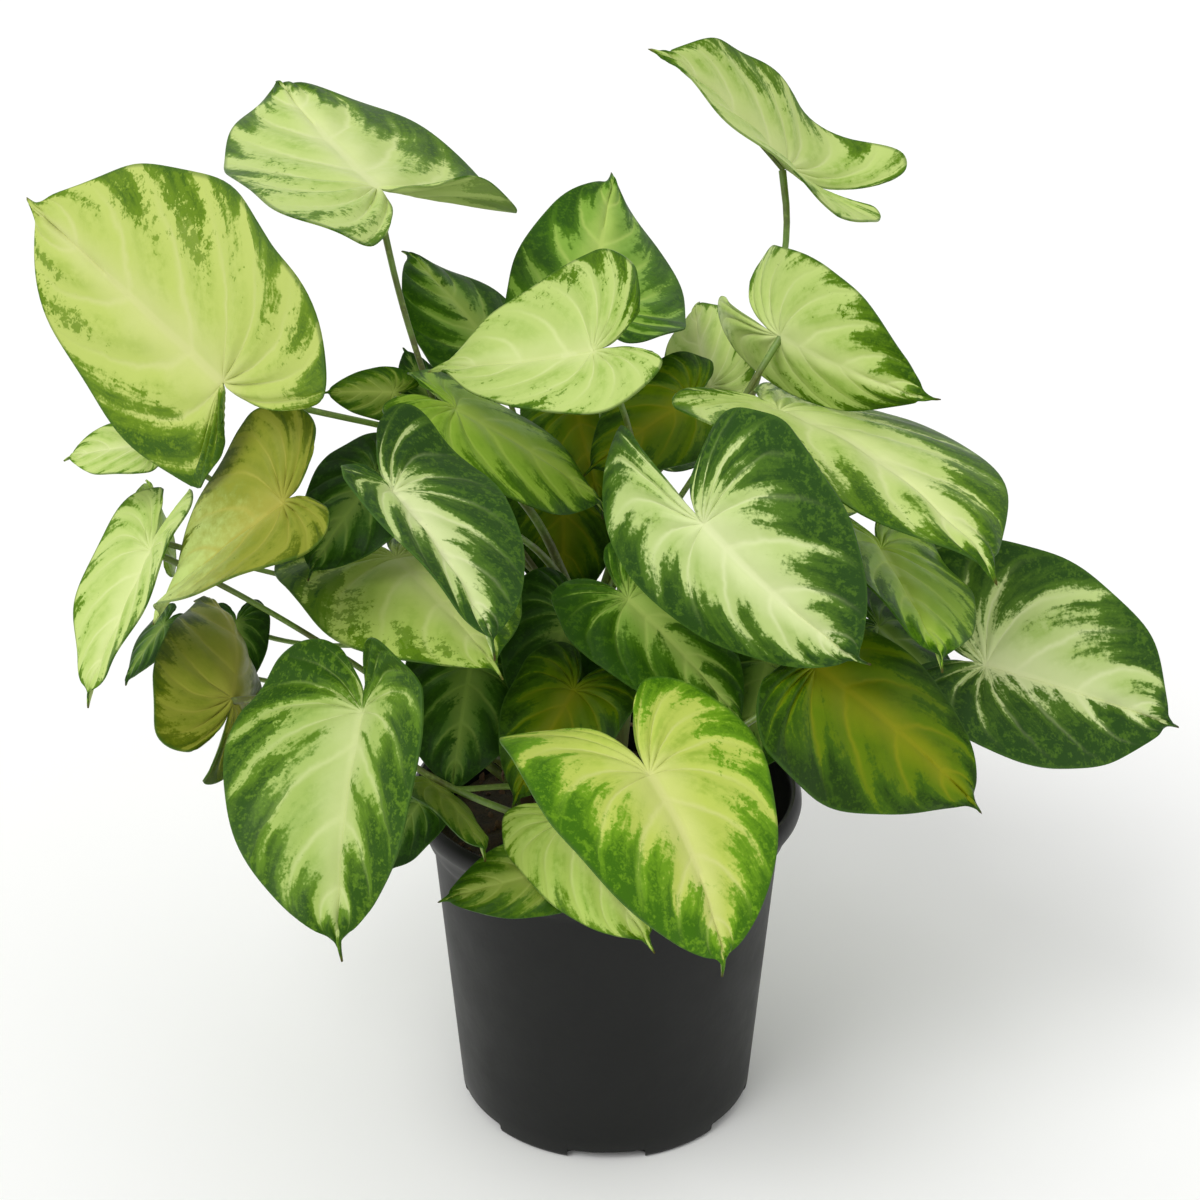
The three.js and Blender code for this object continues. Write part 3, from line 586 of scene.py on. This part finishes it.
    "shade_left": dict(at=(-51, -10, 190), turn=(-98, -40, 0), size=(50, 26, 26, 20, 20),
        grows=("left", 174)),
    "rim_dark": dict(at=(-68, -54, 156), turn=(-159, -57, -25), size=(30, 13, 13, 8, 8),
        form=(15, 10, 10, 15, 0), grows=("left", 146)),
    "rim_pale_edge": dict(at=(-61, -64, 169), turn=(-66, -1, -30), size=(49, 13, 13, 12, 12),
        form=(15, 10, 10, 15, 0), grows=("front", 134), stalk=(0.6, -12, -0.3), tone="pale",
        colours="moss", pale=evenPale(0.8)),
    "rim_small": dict(at=(-19, -94, 152), turn=(-171, -12, -39), size=(38, 15, 15, 12, 12),
        form=(15, 10, 10, 5, 0), grows=("front", 126), tone="olive", colours="moss", pale=evenPale(0.5)),
    "front_under": dict(at=(-14, -85, 166), turn=(-51, -31, 26), size=(52, 23, 23, 18, 18),
        grows=("front", 142), tone="pale", colours="lime", pale=evenPale(0.9), spots=0.4),
    "dark_right": dict(at=(122, 22, 224), turn=(-30, -42, 17), size=(36, 17, 17, 14, 14),
        form=(15, 10, 10, 5, 0), grows=("right", 162), stalk=(0.5, 0, 0.2)),
    "glossy_right": dict(at=(104, 7, 199), turn=(-15, -43, 14), size=(48, 24, 24, 20, 20),
        grows=("right", 150), stalk=(0.4, -12, 0.2)),
    "inner_striped": dict(at=(8, -20, 222), turn=(-29, -40, 22), size=(62, 28, 28, 22, 22),
        grows=("middle", 178), tone="mixed", colours="green"),
    "inner_dark_right": dict(at=(46, 22, 204), turn=(-54, -49, 13), size=(50, 25, 25, 20, 20),
        grows=("middle", 166)),
    "shade_middle": dict(at=(-12, -30, 190), turn=(-128, -42, -19), size=(46, 23, 23, 18, 18),
        grows=("front", 158), tone="olive", colours="amber", pale=evenPale(0.5), spots=0.4),
    "shade_back": dict(at=(-14, 1, 206), turn=(-115, -39, -24), size=(46, 24, 24, 20, 20),
        grows=("middle", 186)),
    "shade_right": dict(at=(60, -17, 195), turn=(-115, -39, -24), size=(50, 24, 24, 20, 20),
        grows=("right", 162)),
    "inner_core": dict(at=(-17, 72, 227), turn=(-93, -76, 0), size=(46, 24, 24, 17, 17),
        form=(15, 10, 10, 5, 0), grows=("back", 170), stalk=(0.3, -25, 0.2), tone="olive",
        colours="amber", pale=evenPale(0.4), spots=0.4),
    "small_low_left": dict(at=(-173, 24, 192), turn=(-150, -50, 0), size=(26, 12, 12, 9, 9),
        form=(15, 10, 10, 5, 0), grows=("left", 146), stalk=(0.4, 0, -1), pale=evenPale(0.4)),
    "small_shade_left": dict(at=(-146, 33, 189), turn=(-80, -50, 10), size=(28, 13, 13, 10, 10),
        form=(15, 10, 10, 5, 0), grows=("left", 166), stalk=(0.4, -25, -1), pale=evenPale(0.4)),
    "back_left": dict(at=(-66, 96, 232), turn=(128, -14, 8), size=(82, 40, 40, 32, 32),
        form=(25, 10, 10, 10, 0), grows=("back", 178), stalk=(0.4, 12, -0.3), tone="mixed",
        colours="mint", pale=evenPale(0.6), spots=0.7),
    "back_middle": dict(at=(8, 122, 236), turn=(86, -20, -6), size=(84, 42, 42, 34, 34),
        form=(30, 10, 10, 10, 0), grows=("back", 178), tone="mixed",
        colours="white", pale=evenPale(0.55), spots=0.6),
    "back_right": dict(at=(78, 92, 226), turn=(46, -16, -8), size=(80, 40, 40, 32, 32),
        form=(25, 10, 10, 10, 0), grows=("right", 150), tone="pale",
        colours="lime", pale=evenPale(0.8), spots=0.9),
    "back_low_left": dict(at=(-40, 88, 176), turn=(112, -28, 6), size=(64, 32, 32, 26, 26),
        form=(30, 10, 10, 10, 0), grows=("back", 134)),
    "back_low_right": dict(at=(36, 92, 172), turn=(66, -28, -6), size=(64, 31, 31, 26, 26),
        form=(30, 10, 10, 10, 0), grows=("back", 126), tone="pale",
        colours="lime", pale=evenPale(0.75), spots=0.6),
}
leaves = {name: dict(usual, **row) for name, row in leafRows.items()}


def stemBody(name):
    look = stemLook
    curve = stemCurve(stems[name])
    heights = sorted({leaf["grows"][1] for leaf in leaves.values() if leaf["grows"][0] == name})
    heights = [h for i, h in enumerate(heights) if i == 0 or h - heights[i - 1] > look["knotApart"]]
    heights.append(look["lowestKnot"])
    path, radii = [], []
    for step in range(look["points"] + 1):
        t = step / look["points"]
        place = bezierPoint(curve, t)
        knots = sum(math.exp(-((place.z - h) / look["knotLength"]) ** 2) for h in heights)
        girth = look["radius"] * (1 - look["waist"] + look["knot"] * min(1, knots))
        path.append(place)
        radii.append(girth * (1 - max(0, t - look["taperFrom"]) * look["taper"]))
    path.insert(0, path[0] - Vector((0, 0, look["buried"])))
    radii.insert(0, radii[0] * 1.15)
    return growTube(path, radii, look["sides"], 2)


def airRoots(name, draw):  # short brown roots that start at the knots and hang to the mix
    look = stemLook
    roots = []
    for start in range(look["roots"]):
        height = look["lowestKnot"] + start * look["rootApart"] + draw.random() * 4
        place, way = stemPlace(stems[name], height)
        angle = draw.random() * 2 * math.pi
        out = Vector((math.cos(angle), math.sin(angle), 0))
        length = look["shortRoot"] + look["longerBy"] * draw.random()
        path = [place + out * 2.0, place + out * 4.6 - Vector((0, 0, 1)),
                place + out * (5 + length * 0.25) - Vector((0, 0, length * 0.5)),
                place + out * (5 + length * 0.2) - Vector((0, 0, length))]
        if path[-1].z > look["rootEnd"]:
            roots.append(growTube(path, look["rootRadii"], 8, 3))
    return roots


def stemFinish():
    look = stemLook
    finish, tree, shader = newFinish("vineBark")
    place = objectPlace(tree)
    height = put(tree, "SeparateXYZ", {0: place}).outputs[2]
    stretched = put(tree, "Mapping", {"Vector": place, "Scale": (1, 1, 0.12)}).outputs[0]
    streaks = grain(tree, stretched, 700, 3, 0.6)
    blots = grain(tree, place, 120, 3, 0.6)
    up = scaled(tree, calc(tree, "SUBTRACT", blots, 0.5), 0.05, height)
    green = ease(tree, up, *inMetres(look["greenFrom"]))
    colour = blendColours(tree, green, tint(look["bark"]), tint(look["green"]))
    young = ease(tree, up, *inMetres(look["youngFrom"]))
    colour = blendColours(tree, young, colour, tint(look["young"]))
    colour = blendColours(tree, ease(tree, streaks, 0.42, 0.7, 0, 0.45), colour, tint(look["bark"]))
    paint(tree, shader, colour, ease(tree, streaks, 0.3, 0.7, 0.5, 0.75))
    relief(tree, shader, streaks, 0.5, 0.3 * mm)
    return finish


def rootFinish():
    finish, tree, shader = newFinish("airRoot")
    streaks = grain(tree, objectPlace(tree), 500, 3, 0.6)
    brown, pale = tint(stemLook["bark"]), tint(stemLook["root"])
    colour = blendColours(tree, ease(tree, streaks, 0.35, 0.65), brown, pale)
    paint(tree, shader, colour, ease(tree, streaks, 0.3, 0.7, 0.6, 0.85))
    relief(tree, shader, streaks, 0.5, 0.2 * mm)
    return finish


bark, rootBark = stemFinish(), rootFinish()
rootDraw = random.Random(stemLook["seed"])
for name in stems:
    stem = stemBody(name)
    dress(stem, bark)
    roots = airRoots(name, rootDraw)
    for root in roots:
        dress(root, rootBark)
    joinInto(stem, *roots)
    smoothFaces(stem, 60)
    stem.name = name + "Stem"
    hang(stem, "vine_stem", "stem_" + name)
print("stems made")


# Half outline of a blade from the end of the back lobe to the tip. First number: share of the
# half width. Second: share of the length, or of the lobe when negative.
halfOutline = [
    (0.26, -0.84), (0.42, -0.99), (0.62, -0.98), (0.82, -0.76), (0.96, -0.38), (1.00, 0.03),
    (0.96, 0.27), (0.84, 0.48), (0.65, 0.67), (0.41, 0.82), (0.17, 0.93), (0.04, 0.97), (0, 1)]
bladeLook = dict(
    across=26, along=72,  # faces from margin to margin and from lobe to tip
    thickness=0.7, firstVein=0.18, notchBulge=0.07,
    veins=9, sweep=0.12,  # side veins from lobe to tip, and how far they bend to the tip
    quilt=0.019, groove=0.8, grooveWidth=2.4, wave=1.3, waves=3.2, uneven=0.014,
    hook=5.5, hookFrom=0.86, hookDrop=0.4,  # the drawn-out tip, where it starts and how it droops
    fullLength=70,  # a shorter leaf has shallower waves, groove and tip
    weld=0.005, seed=23)
stalkLook = dict(
    radius=1.3, lean=0.1, arch=0.35, points=12, sides=12,
    gap=0.3, inside=1.2, sunk=2.5,  # how its foot wraps the stem
    letIn=0.25,  # how deep stalk and rib go into the underside
    taper=(1.75, 1.55, 1.38, 1.26, 1.14, 1.04, 0.98, 0.94, 0.9, 0.9, 0.92, 1.0, 1.15),
    rib=(1.0, 0.85, 0.7, 0.56, 0.42, 0.3, 0.16), ribReach=0.86,
    fullLength=75, slimmest=0.72, slimmestRib=0.6,  # a shorter leaf has a slimmer stalk and rib
    green="6c8a38", olive="5a5f2c", pale="9db35a")


def outlinePlace(s):
    knots = halfOutline
    spot = s * (len(knots) - 1)
    i = min(int(spot), len(knots) - 2)
    w = spot - i
    around = [knots[min(max(i + k, 0), len(knots) - 1)] for k in (-1, 0, 1, 2)]
    place = []
    for p0, p1, p2, p3 in zip(*around):
        v0, v1 = (p2 - p0) / 2, (p3 - p1) / 2
        cubic, square = 2 * p1 - 2 * p2 + v0 + v1, 3 * p2 - 3 * p1 - 2 * v0 - v1
        place.append(cubic * w ** 3 + square * w ** 2 + v0 * w + p1)
    return place


def bladeAxes(turn):
    h, p, r = (math.radians(v) for v in turn)
    along = Vector((math.cos(h) * math.cos(p), math.sin(h) * math.cos(p), math.sin(p)))
    level = Vector((-math.cos(h) * math.sin(p), -math.sin(h) * math.sin(p), math.cos(p)))
    side = along.cross(level)
    return along, side * math.cos(r) - level * math.sin(r), level * math.cos(r) + side * math.sin(r)


# A point of the flat blade, x to the right and y to the tip, bent into its real shape.
def bentPoint(leaf, axes, x, y, lift):
    length, leftWidth, rightWidth, leftLobe, rightLobe = leaf["size"]
    bend, leftBend, rightBend, fold, twist = (math.radians(v) for v in leaf["form"])
    lobe, lobeBend = (leftLobe, leftBend) if x < 0 else (rightLobe, rightBend)
    turn = (bend / length if y > 0 else lobeBend / lobe) * y + 1e-9
    curveY = math.sin(turn) / turn * y
    curveZ = -(1 - math.cos(turn)) / turn * y
    spin = twist * min(1, max(-0.5, y / length))
    flatX = x * math.cos(fold)
    flatZ = -abs(x) * math.sin(fold) + lift
    acrossX = flatX * math.cos(spin) + flatZ * math.sin(spin)
    acrossZ = flatZ * math.cos(spin) - flatX * math.sin(spin)
    localY = curveY + acrossZ * math.sin(turn)
    localZ = curveZ + acrossZ * math.cos(turn)
    tip = bend / 2
    chordY = localY * math.cos(tip) - localZ * math.sin(tip)
    chordZ = localY * math.sin(tip) + localZ * math.cos(tip)
    along, right, up = axes
    return Vector(leaf["at"]) + right * acrossX + along * chordY + up * chordZ


# Flat place of row s (0 back lobe, 1 tip) and share r (0 midrib, 1 margin) on one side.
def flatPlace(leaf, side, edge, s, r):
    length, leftWidth, rightWidth, leftLobe, rightLobe = leaf["size"]
    width, lobe = (leftWidth, leftLobe) if side < 0 else (rightWidth, rightLobe)
    edgeX = edge[0] * width
    edgeY = edge[1] * (length if edge[1] > 0 else lobe)
    start = max(0, (edge[1] - bladeLook["firstVein"]) / (1 - bladeLook["firstVein"]))
    ribY = length * start ** 1.5
    bulge = max(0, 1 - 8 * s) * bladeLook["notchBulge"] * width * 4 * r * (1 - r)
    return side * (edgeX * r - bulge), ribY + (edgeY - ribY) * r


def fullness(leaf):
    return min(1, leaf["size"][0] / bladeLook["fullLength"])


# How far the face stands off the plain blade: puffed between the side veins, sunk along the
# midrib and gently wavy at the margin.
def faceLift(leaf, side, s, r, width, mood):
    look = bladeLook
    length = leaf["size"][0]
    phase = look["veins"] * (s - look["sweep"] * r * r)
    puff = abs(math.sin(math.pi * phase)) ** 1.3 * min(1, r * 5) * (1 - r ** 4)
    sunk = math.exp(-(r * width / look["grooveWidth"]) ** 2)
    wavy = math.sin(2 * math.pi * (look["waves"] * (0.8 + 0.5 * mood) * s + mood * 7 + side * 0.2)) * r ** 3
    lift = look["quilt"] * length * puff + fullness(leaf) * (look["wave"] * wavy - look["groove"] * sunk)
    return lift * min(1, (1 - s) * 14)


def leafBlade(leaf, mood):
    look = bladeLook
    axes = bladeAxes(leaf["turn"])
    clearSelection()
    bpy.ops.mesh.primitive_grid_add(
        x_subdivisions=look["across"], y_subdivisions=look["along"], size=2, location=(0, 0, 0))
    blade = bpy.context.object
    edges = {}
    for v in blade.data.vertices:
        side = -1 if v.co.x < 0 else 1
        r = min(1, abs(v.co.x))
        r = 0 if r < 1e-4 else r
        s = min(1, max(0, (v.co.y + 1) / 2))
        key = round(s, 5)
        if key not in edges:
            edges[key] = outlinePlace(s)
        edge = edges[key]
        width = leaf["size"][1 if side < 0 else 2]
        ripple = 1 + look["uneven"] * math.sin(2 * math.pi * (5 * s + mood * 3 + side)) * r ** 4
        x, y = flatPlace(leaf, side, edge, s, r)
        hooked = max(0, s - look["hookFrom"]) / (1 - look["hookFrom"])
        hook = look["hook"] * fullness(leaf) * hooked ** 2
        lift = faceLift(leaf, side, s, r, width, mood) - look["hookDrop"] * hook
        v.co = bentPoint(leaf, axes, x * ripple, y + hook, lift) * mm
    mergeDoubles(blade, look["weld"] * mm)
    return blade


def stalkCurve(leaf):
    rise, sway, droop = leaf["stalk"]
    look = stalkLook
    stem, height = leaf["grows"]
    place, way = stemPlace(stems[stem], height)
    joint = Vector(leaf["at"])
    outward = joint - place
    outward.z = 0
    outward.normalize()
    outward = (outward - way * outward.dot(way)).normalized()
    foot = place + outward * (stemLook["radius"] + look["radius"] + look["gap"])
    reach = (joint - foot).length
    aside = Vector((-outward.y, outward.x, 0)).normalized() * sway
    arrival = (joint - foot).normalized()
    arrival.z -= droop
    arrival.normalize()
    firstPull = foot + aside + way * reach * rise + outward * reach * look["lean"]
    secondPull = joint + aside - arrival * reach * look["arch"]
    inside = place + outward * look["inside"] - way * look["sunk"]
    return (foot, firstPull, secondPull, joint), inside


def faceDrop(leaf):  # the underside lies this far under the plain blade along the midrib
    return bladeLook["groove"] * fullness(leaf) + bladeLook["thickness"] / 2 - stalkLook["letIn"]


def slimness(leaf, slimmest):
    return slimmest + (1 - slimmest) * min(1, leaf["size"][0] / stalkLook["fullLength"])


def leafStalk(leaf):
    look = stalkLook
    curve, inside = stalkCurve(leaf)
    slim = slimness(leaf, look["slimmest"])
    path = [bezierPoint(curve, step / look["points"]) for step in range(look["points"] + 1)]
    path[0] = inside
    path[-1] -= bladeAxes(leaf["turn"])[2] * (faceDrop(leaf) + look["radius"] * slim)
    return growTube(path, [look["radius"] * slim * share for share in look["taper"]], look["sides"], 3)


def leafRib(leaf):  # the midrib stands out of the underside
    look = stalkLook
    axes = bladeAxes(leaf["turn"])
    slim = slimness(leaf, look["slimmestRib"])
    steps = len(look["rib"])
    path = [bentPoint(leaf, axes, 0, leaf["size"][0] * look["ribReach"] * step / (steps - 1),
                      -faceDrop(leaf) - slim * look["rib"][step]) for step in range(steps)]
    return growTube(path, [slim * share for share in look["rib"]], 8, 4)


palettes = {  # heart along the midrib, pale part, mottle in it, mid green, dark part
    "yellow": "c5ca85 b3c264 97ad48 6a891b 385a11",
    "sunny": "cdd184 b8c75a 8fab38 6f9c1c 3c690a",
    "lime": "ccd78a b0c661 8faf41 678b17 31560e",
    "plain": "bed07a 9ab950 82a53a 76981a 406c11",
    "mint": "d3dc9c b8cb76 92b14b 5d8116 31530c",
    "jade": "c2cd8d 9eb55e 7b9a3f 5c801d 2b4c0d",
    "white": "dbe3ad b8cb80 97b457 4f7220 294817",
    "fresh": "b7ce5e 90b33a 769b27 557e0e 2a4f09",
    "green": "b3c968 81a63f 67912e 497310 2b500b",
    # dark: painted shade, a darkened copy of the greens for the leaves that sit in shade inside the plant
    "dark": "819a47 486b23 385c19 2e520c 1c3908",
    "moss": "a2b256 7c9235 678326 4f720e 2d5008",
    # olive and amber: their yellow-olive tint is painted light and shade, the glow of light shining through
    # leaves in shade; their pale and green variegation is the leaf's own
    "olive": "a9a54a 888f30 738022 5d6c0e 364b09",
    "amber": "868a14 5b7604 4a6405 3e6008 203c04",
}
skinLook = dict(
    # what frays the edge of the pale part, and its fingers along the side veins, shortest and spread
    edge=dict(cells=0.2, drift=0.5, clouds=0.45, blots=0.35, streaks=0.95, flecks=0.35),
    fingers=(0.10, 0.34),
    grains=dict(drift=(28, 2, 0.5), clouds=(75, 3, 0.55), blots=(260, 4, 0.65), flecks=(900, 2, 0.6)),
    streakStretch=(36, 2), heartFade=2.2, spotTint=0.78,
    veinSharpness=24, veinWander=0.036, veinTint=0.6, veinHeight=0.8,
    ribWidth=(0.06, 0.02), ribTint=0.75, margin="3d5f20", marginTint=0.6, tip="4a3a1c", tipTint=0.8,
    under="9db36a", underTint=0.5, underRoughness=(0.5, 0.62), roughness=(0.34, 0.5), gloss=0.09)


def palette(name):
    return dict(zip(("heart", "pale", "mottle", "mid", "dark"), map(tint, palettes[name].split())))


def reachCurve(tree, along, shares):  # how far from the midrib the pale part reaches, lobe to tip
    top = 1.5  # keeps every share inside the curve's own height
    curve = put(tree, "FloatCurve", {1: along})
    line = curve.mapping.curves[0]
    line.points[0].location = (0, shares[0] / top)
    line.points[1].location = (1, shares[-1] / top)
    for step, share in enumerate(shares):
        line.points.new((2 * step + 1) / (2 * len(shares)), share / top)
    curve.mapping.update()
    return times(tree, curve.outputs[0], top)


def drawEach(tree, count, isRight, seed):  # one random number for each vein or field of a half
    cell = put(tree, "CombineXYZ", {0: count, 1: isRight, 2: seed}).outputs[0]
    return put(tree, "TexWhiteNoise", {"Vector": cell}).outputs[0]


# Everything that the colours are painted by, over the whole leaf.
def leafFields(tree, seed):
    look = skinLook
    parts = put(tree, "SeparateXYZ", {0: put(tree, "UVMap", uv_map="UVMap").outputs[0]})
    across = scaled(tree, parts.outputs[0], 2, -1)  # -1 and 1 at the margins, 0 on the midrib
    out, along = calc(tree, "ABSOLUTE", across), parts.outputs[1]
    isRight = calc(tree, "GREATER_THAN", across, 0)
    body = objectPlace(tree)
    field = {name: grain(tree, body, *kind) for name, kind in look["grains"].items()}

    # phase counts the side veins from lobe to tip and is the same all along one of them
    wander = scaled(tree, field["clouds"], look["veinWander"], -look["veinWander"] / 2)
    order = calc(tree, "ADD", wander, scaled(tree, times(tree, out, out), -bladeLook["sweep"], along))
    phase = times(tree, order, bladeLook["veins"])
    vein = scaled(tree, calc(tree, "COSINE", times(tree, phase, 2 * math.pi)), 0.5, 0.5)
    fine, long = look["streakStretch"]
    alongVein = {0: times(tree, order, fine), 1: times(tree, across, long), 2: seed}
    field.update(
        out=out, along=along, isRight=isRight, vein=vein,
        thinVein=calc(tree, "POWER", vein, look["veinSharpness"]),
        cells=drawEach(tree, calc(tree, "FLOOR", phase), isRight, seed),
        fingers=drawEach(tree, calc(tree, "ROUND", phase), isRight, seed + 5),
        streaks=grain(tree, put(tree, "CombineXYZ", alongVein).outputs[0], 1, 3, 0.6))
    return field


# Shares of green and of deep green over the pale part, and the ragged specks between them.
def greenShares(tree, leaf, field):
    look = skinLook
    left, right = leaf["pale"]
    reach = reachCurve(tree, field["along"], left)
    if left != right:
        other = reachCurve(tree, field["along"], right)
        reach = put(tree, "Mix", {0: field["isRight"], 2: reach, 3: other}).outputs[0]
    level = calc(tree, "SUBTRACT", field["out"], reach)
    shortest, spread = look["fingers"]
    finger = scaled(tree, field["fingers"], spread, shortest)
    finger = times(tree, calc(tree, "POWER", field["vein"], 2), finger)
    if "fingers" in leaf:
        finger = times(tree, finger, leaf["fingers"])
    level = calc(tree, "SUBTRACT", level, finger)
    for name, gain in look["edge"].items():
        level = calc(tree, "ADD", level, scaled(tree, field[name], gain, -gain / 2))
    ragged = scaled(tree, field["flecks"], 0.35, times(tree, field["blots"], 0.65))
    room = times(tree, ease(tree, field["out"], 0.2, 0.7), scaled(tree, field["vein"], -0.45, 1))
    room = times(tree, room, ease(tree, field["drift"], 0.36, 0.6, 0.6, 1.15))
    crest = calc(tree, "SUBTRACT", ragged, scaled(tree, room, -0.2 * leaf["spots"], 0.74))
    spot = ease(tree, crest, -0.01, 0.07, 0, look["spotTint"])
    dark = calc(tree, "ADD", ease(tree, level, -0.08, 0.12), spot, clamp=True)
    deep = calc(tree, "ADD", ease(tree, level, 0.02, 0.42), times(tree, spot, 0.4), clamp=True)
    return dark, deep, ragged


def leafColour(tree, leaf, field):
    look, colours = skinLook, palette(leaf["colours"])
    out, along, blots = field["out"], field["along"], field["blots"]
    dark, deep, ragged = greenShares(tree, leaf, field)
    heart = scaled(tree, out, -look["heartFade"], scaled(tree, field["clouds"], 0.6, 0.5), clamp=True)
    puffs = times(tree, ease(tree, field["vein"], 0.85, 0.2), ease(tree, out, 0.08, 0.5))
    mottle = ease(tree, calc(tree, "ADD", field["streaks"], blots), 0.8, 1.2, 0.15, 0.9)
    puffs = times(tree, times(tree, puffs, mottle), ease(tree, field["drift"], 0.35, 0.6, 0.45, 1))
    pale = blendColours(tree, heart, colours["pale"], colours["heart"])
    pale = blendColours(tree, puffs, pale, colours["mottle"])
    green = blendColours(tree, deep, colours["mid"], colours["dark"])
    green = blendColours(tree, ease(tree, ragged, 0.48, 0.62, 0, 0.7), green, colours["mid"])
    if "fresh" in leaf:  # a tip that is still young and green
        start = leaf["fresh"] + 0.15
        young = ease(tree, scaled(tree, blots, 0.3, along), start, start + 0.3)
        pale = blendColours(tree, young, pale, palette("mint")["pale"])
    colour = blendColours(tree, dark, pale, green)
    veinShare = times(tree, field["thinVein"], ease(tree, out, 1.0, 0.3, 0, look["veinTint"]))
    veinShare = times(tree, veinShare, scaled(tree, dark, -0.7, 1))
    colour = blendColours(tree, veinShare, colour, colours["heart"])
    ribShare = ease(tree, out, *look["ribWidth"], 0, look["ribTint"])
    ribShare = times(tree, ribShare, ease(tree, along, 0.97, 0.8))
    colour = blendColours(tree, ribShare, colour, colours["heart"])
    edge = calc(tree, "MAXIMUM", ease(tree, out, 0.965, 0.995), ease(tree, along, 0.012, 0.002))
    colour = blendColours(tree, times(tree, edge, look["marginTint"]), colour, tint(look["margin"]))
    tip = ease(tree, along, 0.965, 0.995, 0, look["tipTint"])
    return blendColours(tree, tip, colour, tint(look["tip"]))


def leafSkin(name, leaf, seed, under):
    look = skinLook
    finish, tree, shader = newFinish(name)
    field = leafFields(tree, seed)
    colour = leafColour(tree, leaf, field)
    vein = look["veinHeight"]  # raised on the underside and sunk on the face
    if under:
        colour = blendColours(tree, look["underTint"], colour, tint(look["under"]))
        rough = ease(tree, field["blots"], 0.3, 0.7, *look["underRoughness"])
    else:
        vein = -vein
        patches = scaled(tree, field["streaks"], 0.4, field["blots"])
        rough = ease(tree, patches, 0.4, 1.0, *look["roughness"])
    paint(tree, shader, colour, rough)
    shader.inputs["Specular IOR Level"].default_value = look["gloss"]
    height = scaled(tree, field["flecks"], 0.25, times(tree, field["thinVein"], vein))
    relief(tree, shader, scaled(tree, field["streaks"], 0.5, height), 0.4, 0.4 * mm)
    return finish


def stalkFinish():
    look = stalkLook
    finish, tree, shader = newFinish("leafStalk")
    place = objectPlace(tree)
    clouds = grain(tree, place, 40, 3, 0.6)
    fine = grain(tree, place, 500, 2, 0.6)
    colour = blendColours(tree, ease(tree, clouds, 0.38, 0.62), tint(look["green"]), tint(look["olive"]))
    colour = blendColours(tree, ease(tree, fine, 0.5, 0.75, 0, 0.4), colour, tint(look["pale"]))
    paint(tree, shader, colour, ease(tree, fine, 0.3, 0.7, 0.32, 0.5))
    relief(tree, shader, fine, 0.3, 0.15 * mm)
    return finish


stalkSkin = stalkFinish()
slotOf = dict(pale="leaf_pale", mixed="leaf_mixed", dark="leaf_dark", olive="leaf_olive")
moods = random.Random(bladeLook["seed"])
for name, leaf in leaves.items():
    mood = moods.random()
    words = name.split("_")
    title = words[0] + "".join(word.capitalize() for word in words[1:]) + "Leaf"
    blade = leafBlade(leaf, mood)
    face = leafSkin(title + "Skin", leaf, mood * 90, False)
    dress(blade, face, leafSkin(title + "Underside", leaf, mood * 90, True))
    applyModifier(blade, "SOLIDIFY", thickness=bladeLook["thickness"] * mm, offset=0, material_offset=1)
    stalk, rib = leafStalk(leaf), leafRib(leaf)
    for shoot in (stalk, rib):
        dress(shoot, stalkSkin)
    joinInto(blade, stalk, rib)
    smoothFaces(blade, 60)
    blade.name = title
    hang(blade, slotOf[leaf["tone"]], "leaf_" + name)
print("leaves made")


studio = dict(
    floor="f8f8f7", floorShade="ececea", floorRoughness=0.9, floorRadius=12000, sky=0.78,
    key=1.52, keySoftness=35, keyTurn=(38, -18, -20))


def floorFinish():
    finish, tree, shader = newFinish("paleFloor")
    clouds = grain(tree, objectPlace(tree), 1.5, 2, 0.5)
    shade = ease(tree, clouds, 0.3, 0.7, 0, 0.2)
    colour = blendColours(tree, shade, tint(studio["floor"]), tint(studio["floorShade"]))
    tree.links.new(colour, shader.inputs["Base Color"])
    shader.inputs["Roughness"].default_value = studio["floorRoughness"]
    return finish


clearSelection()
bpy.ops.mesh.primitive_circle_add(
    vertices=96, radius=studio["floorRadius"] * mm, fill_type="NGON", location=(0, 0, 0))
floor = bpy.context.object
floor.name = "studioFloor"
dress(floor, floorFinish())

world = bpy.data.worlds.new("paleStudio")
world.use_nodes = True
background = world.node_tree.nodes["Background"]
background.inputs["Color"].default_value = (1, 1, 1, 1)
background.inputs["Strength"].default_value = studio["sky"]
bpy.context.scene.world = world

bpy.ops.object.light_add(
    type="SUN", location=(-1, -1, 2), rotation=[math.radians(turn) for turn in studio["keyTurn"]])
keyLight = bpy.context.object.data
keyLight.energy = studio["key"]
keyLight.angle = math.radians(studio["keySoftness"])

cameraLook = dict(place=(-2.4, -695, 511), pitch=66.8, lens=60.42, sensor=36)
bpy.ops.object.camera_add(
    location=Vector(cameraLook["place"]) * mm, rotation=(math.radians(cameraLook["pitch"]), 0, 0))
camera = bpy.context.object
camera.data.lens = cameraLook["lens"]
camera.data.sensor_width = cameraLook["sensor"]
camera.data.clip_start = 0.01
bpy.context.scene.camera = camera
print("studio made")
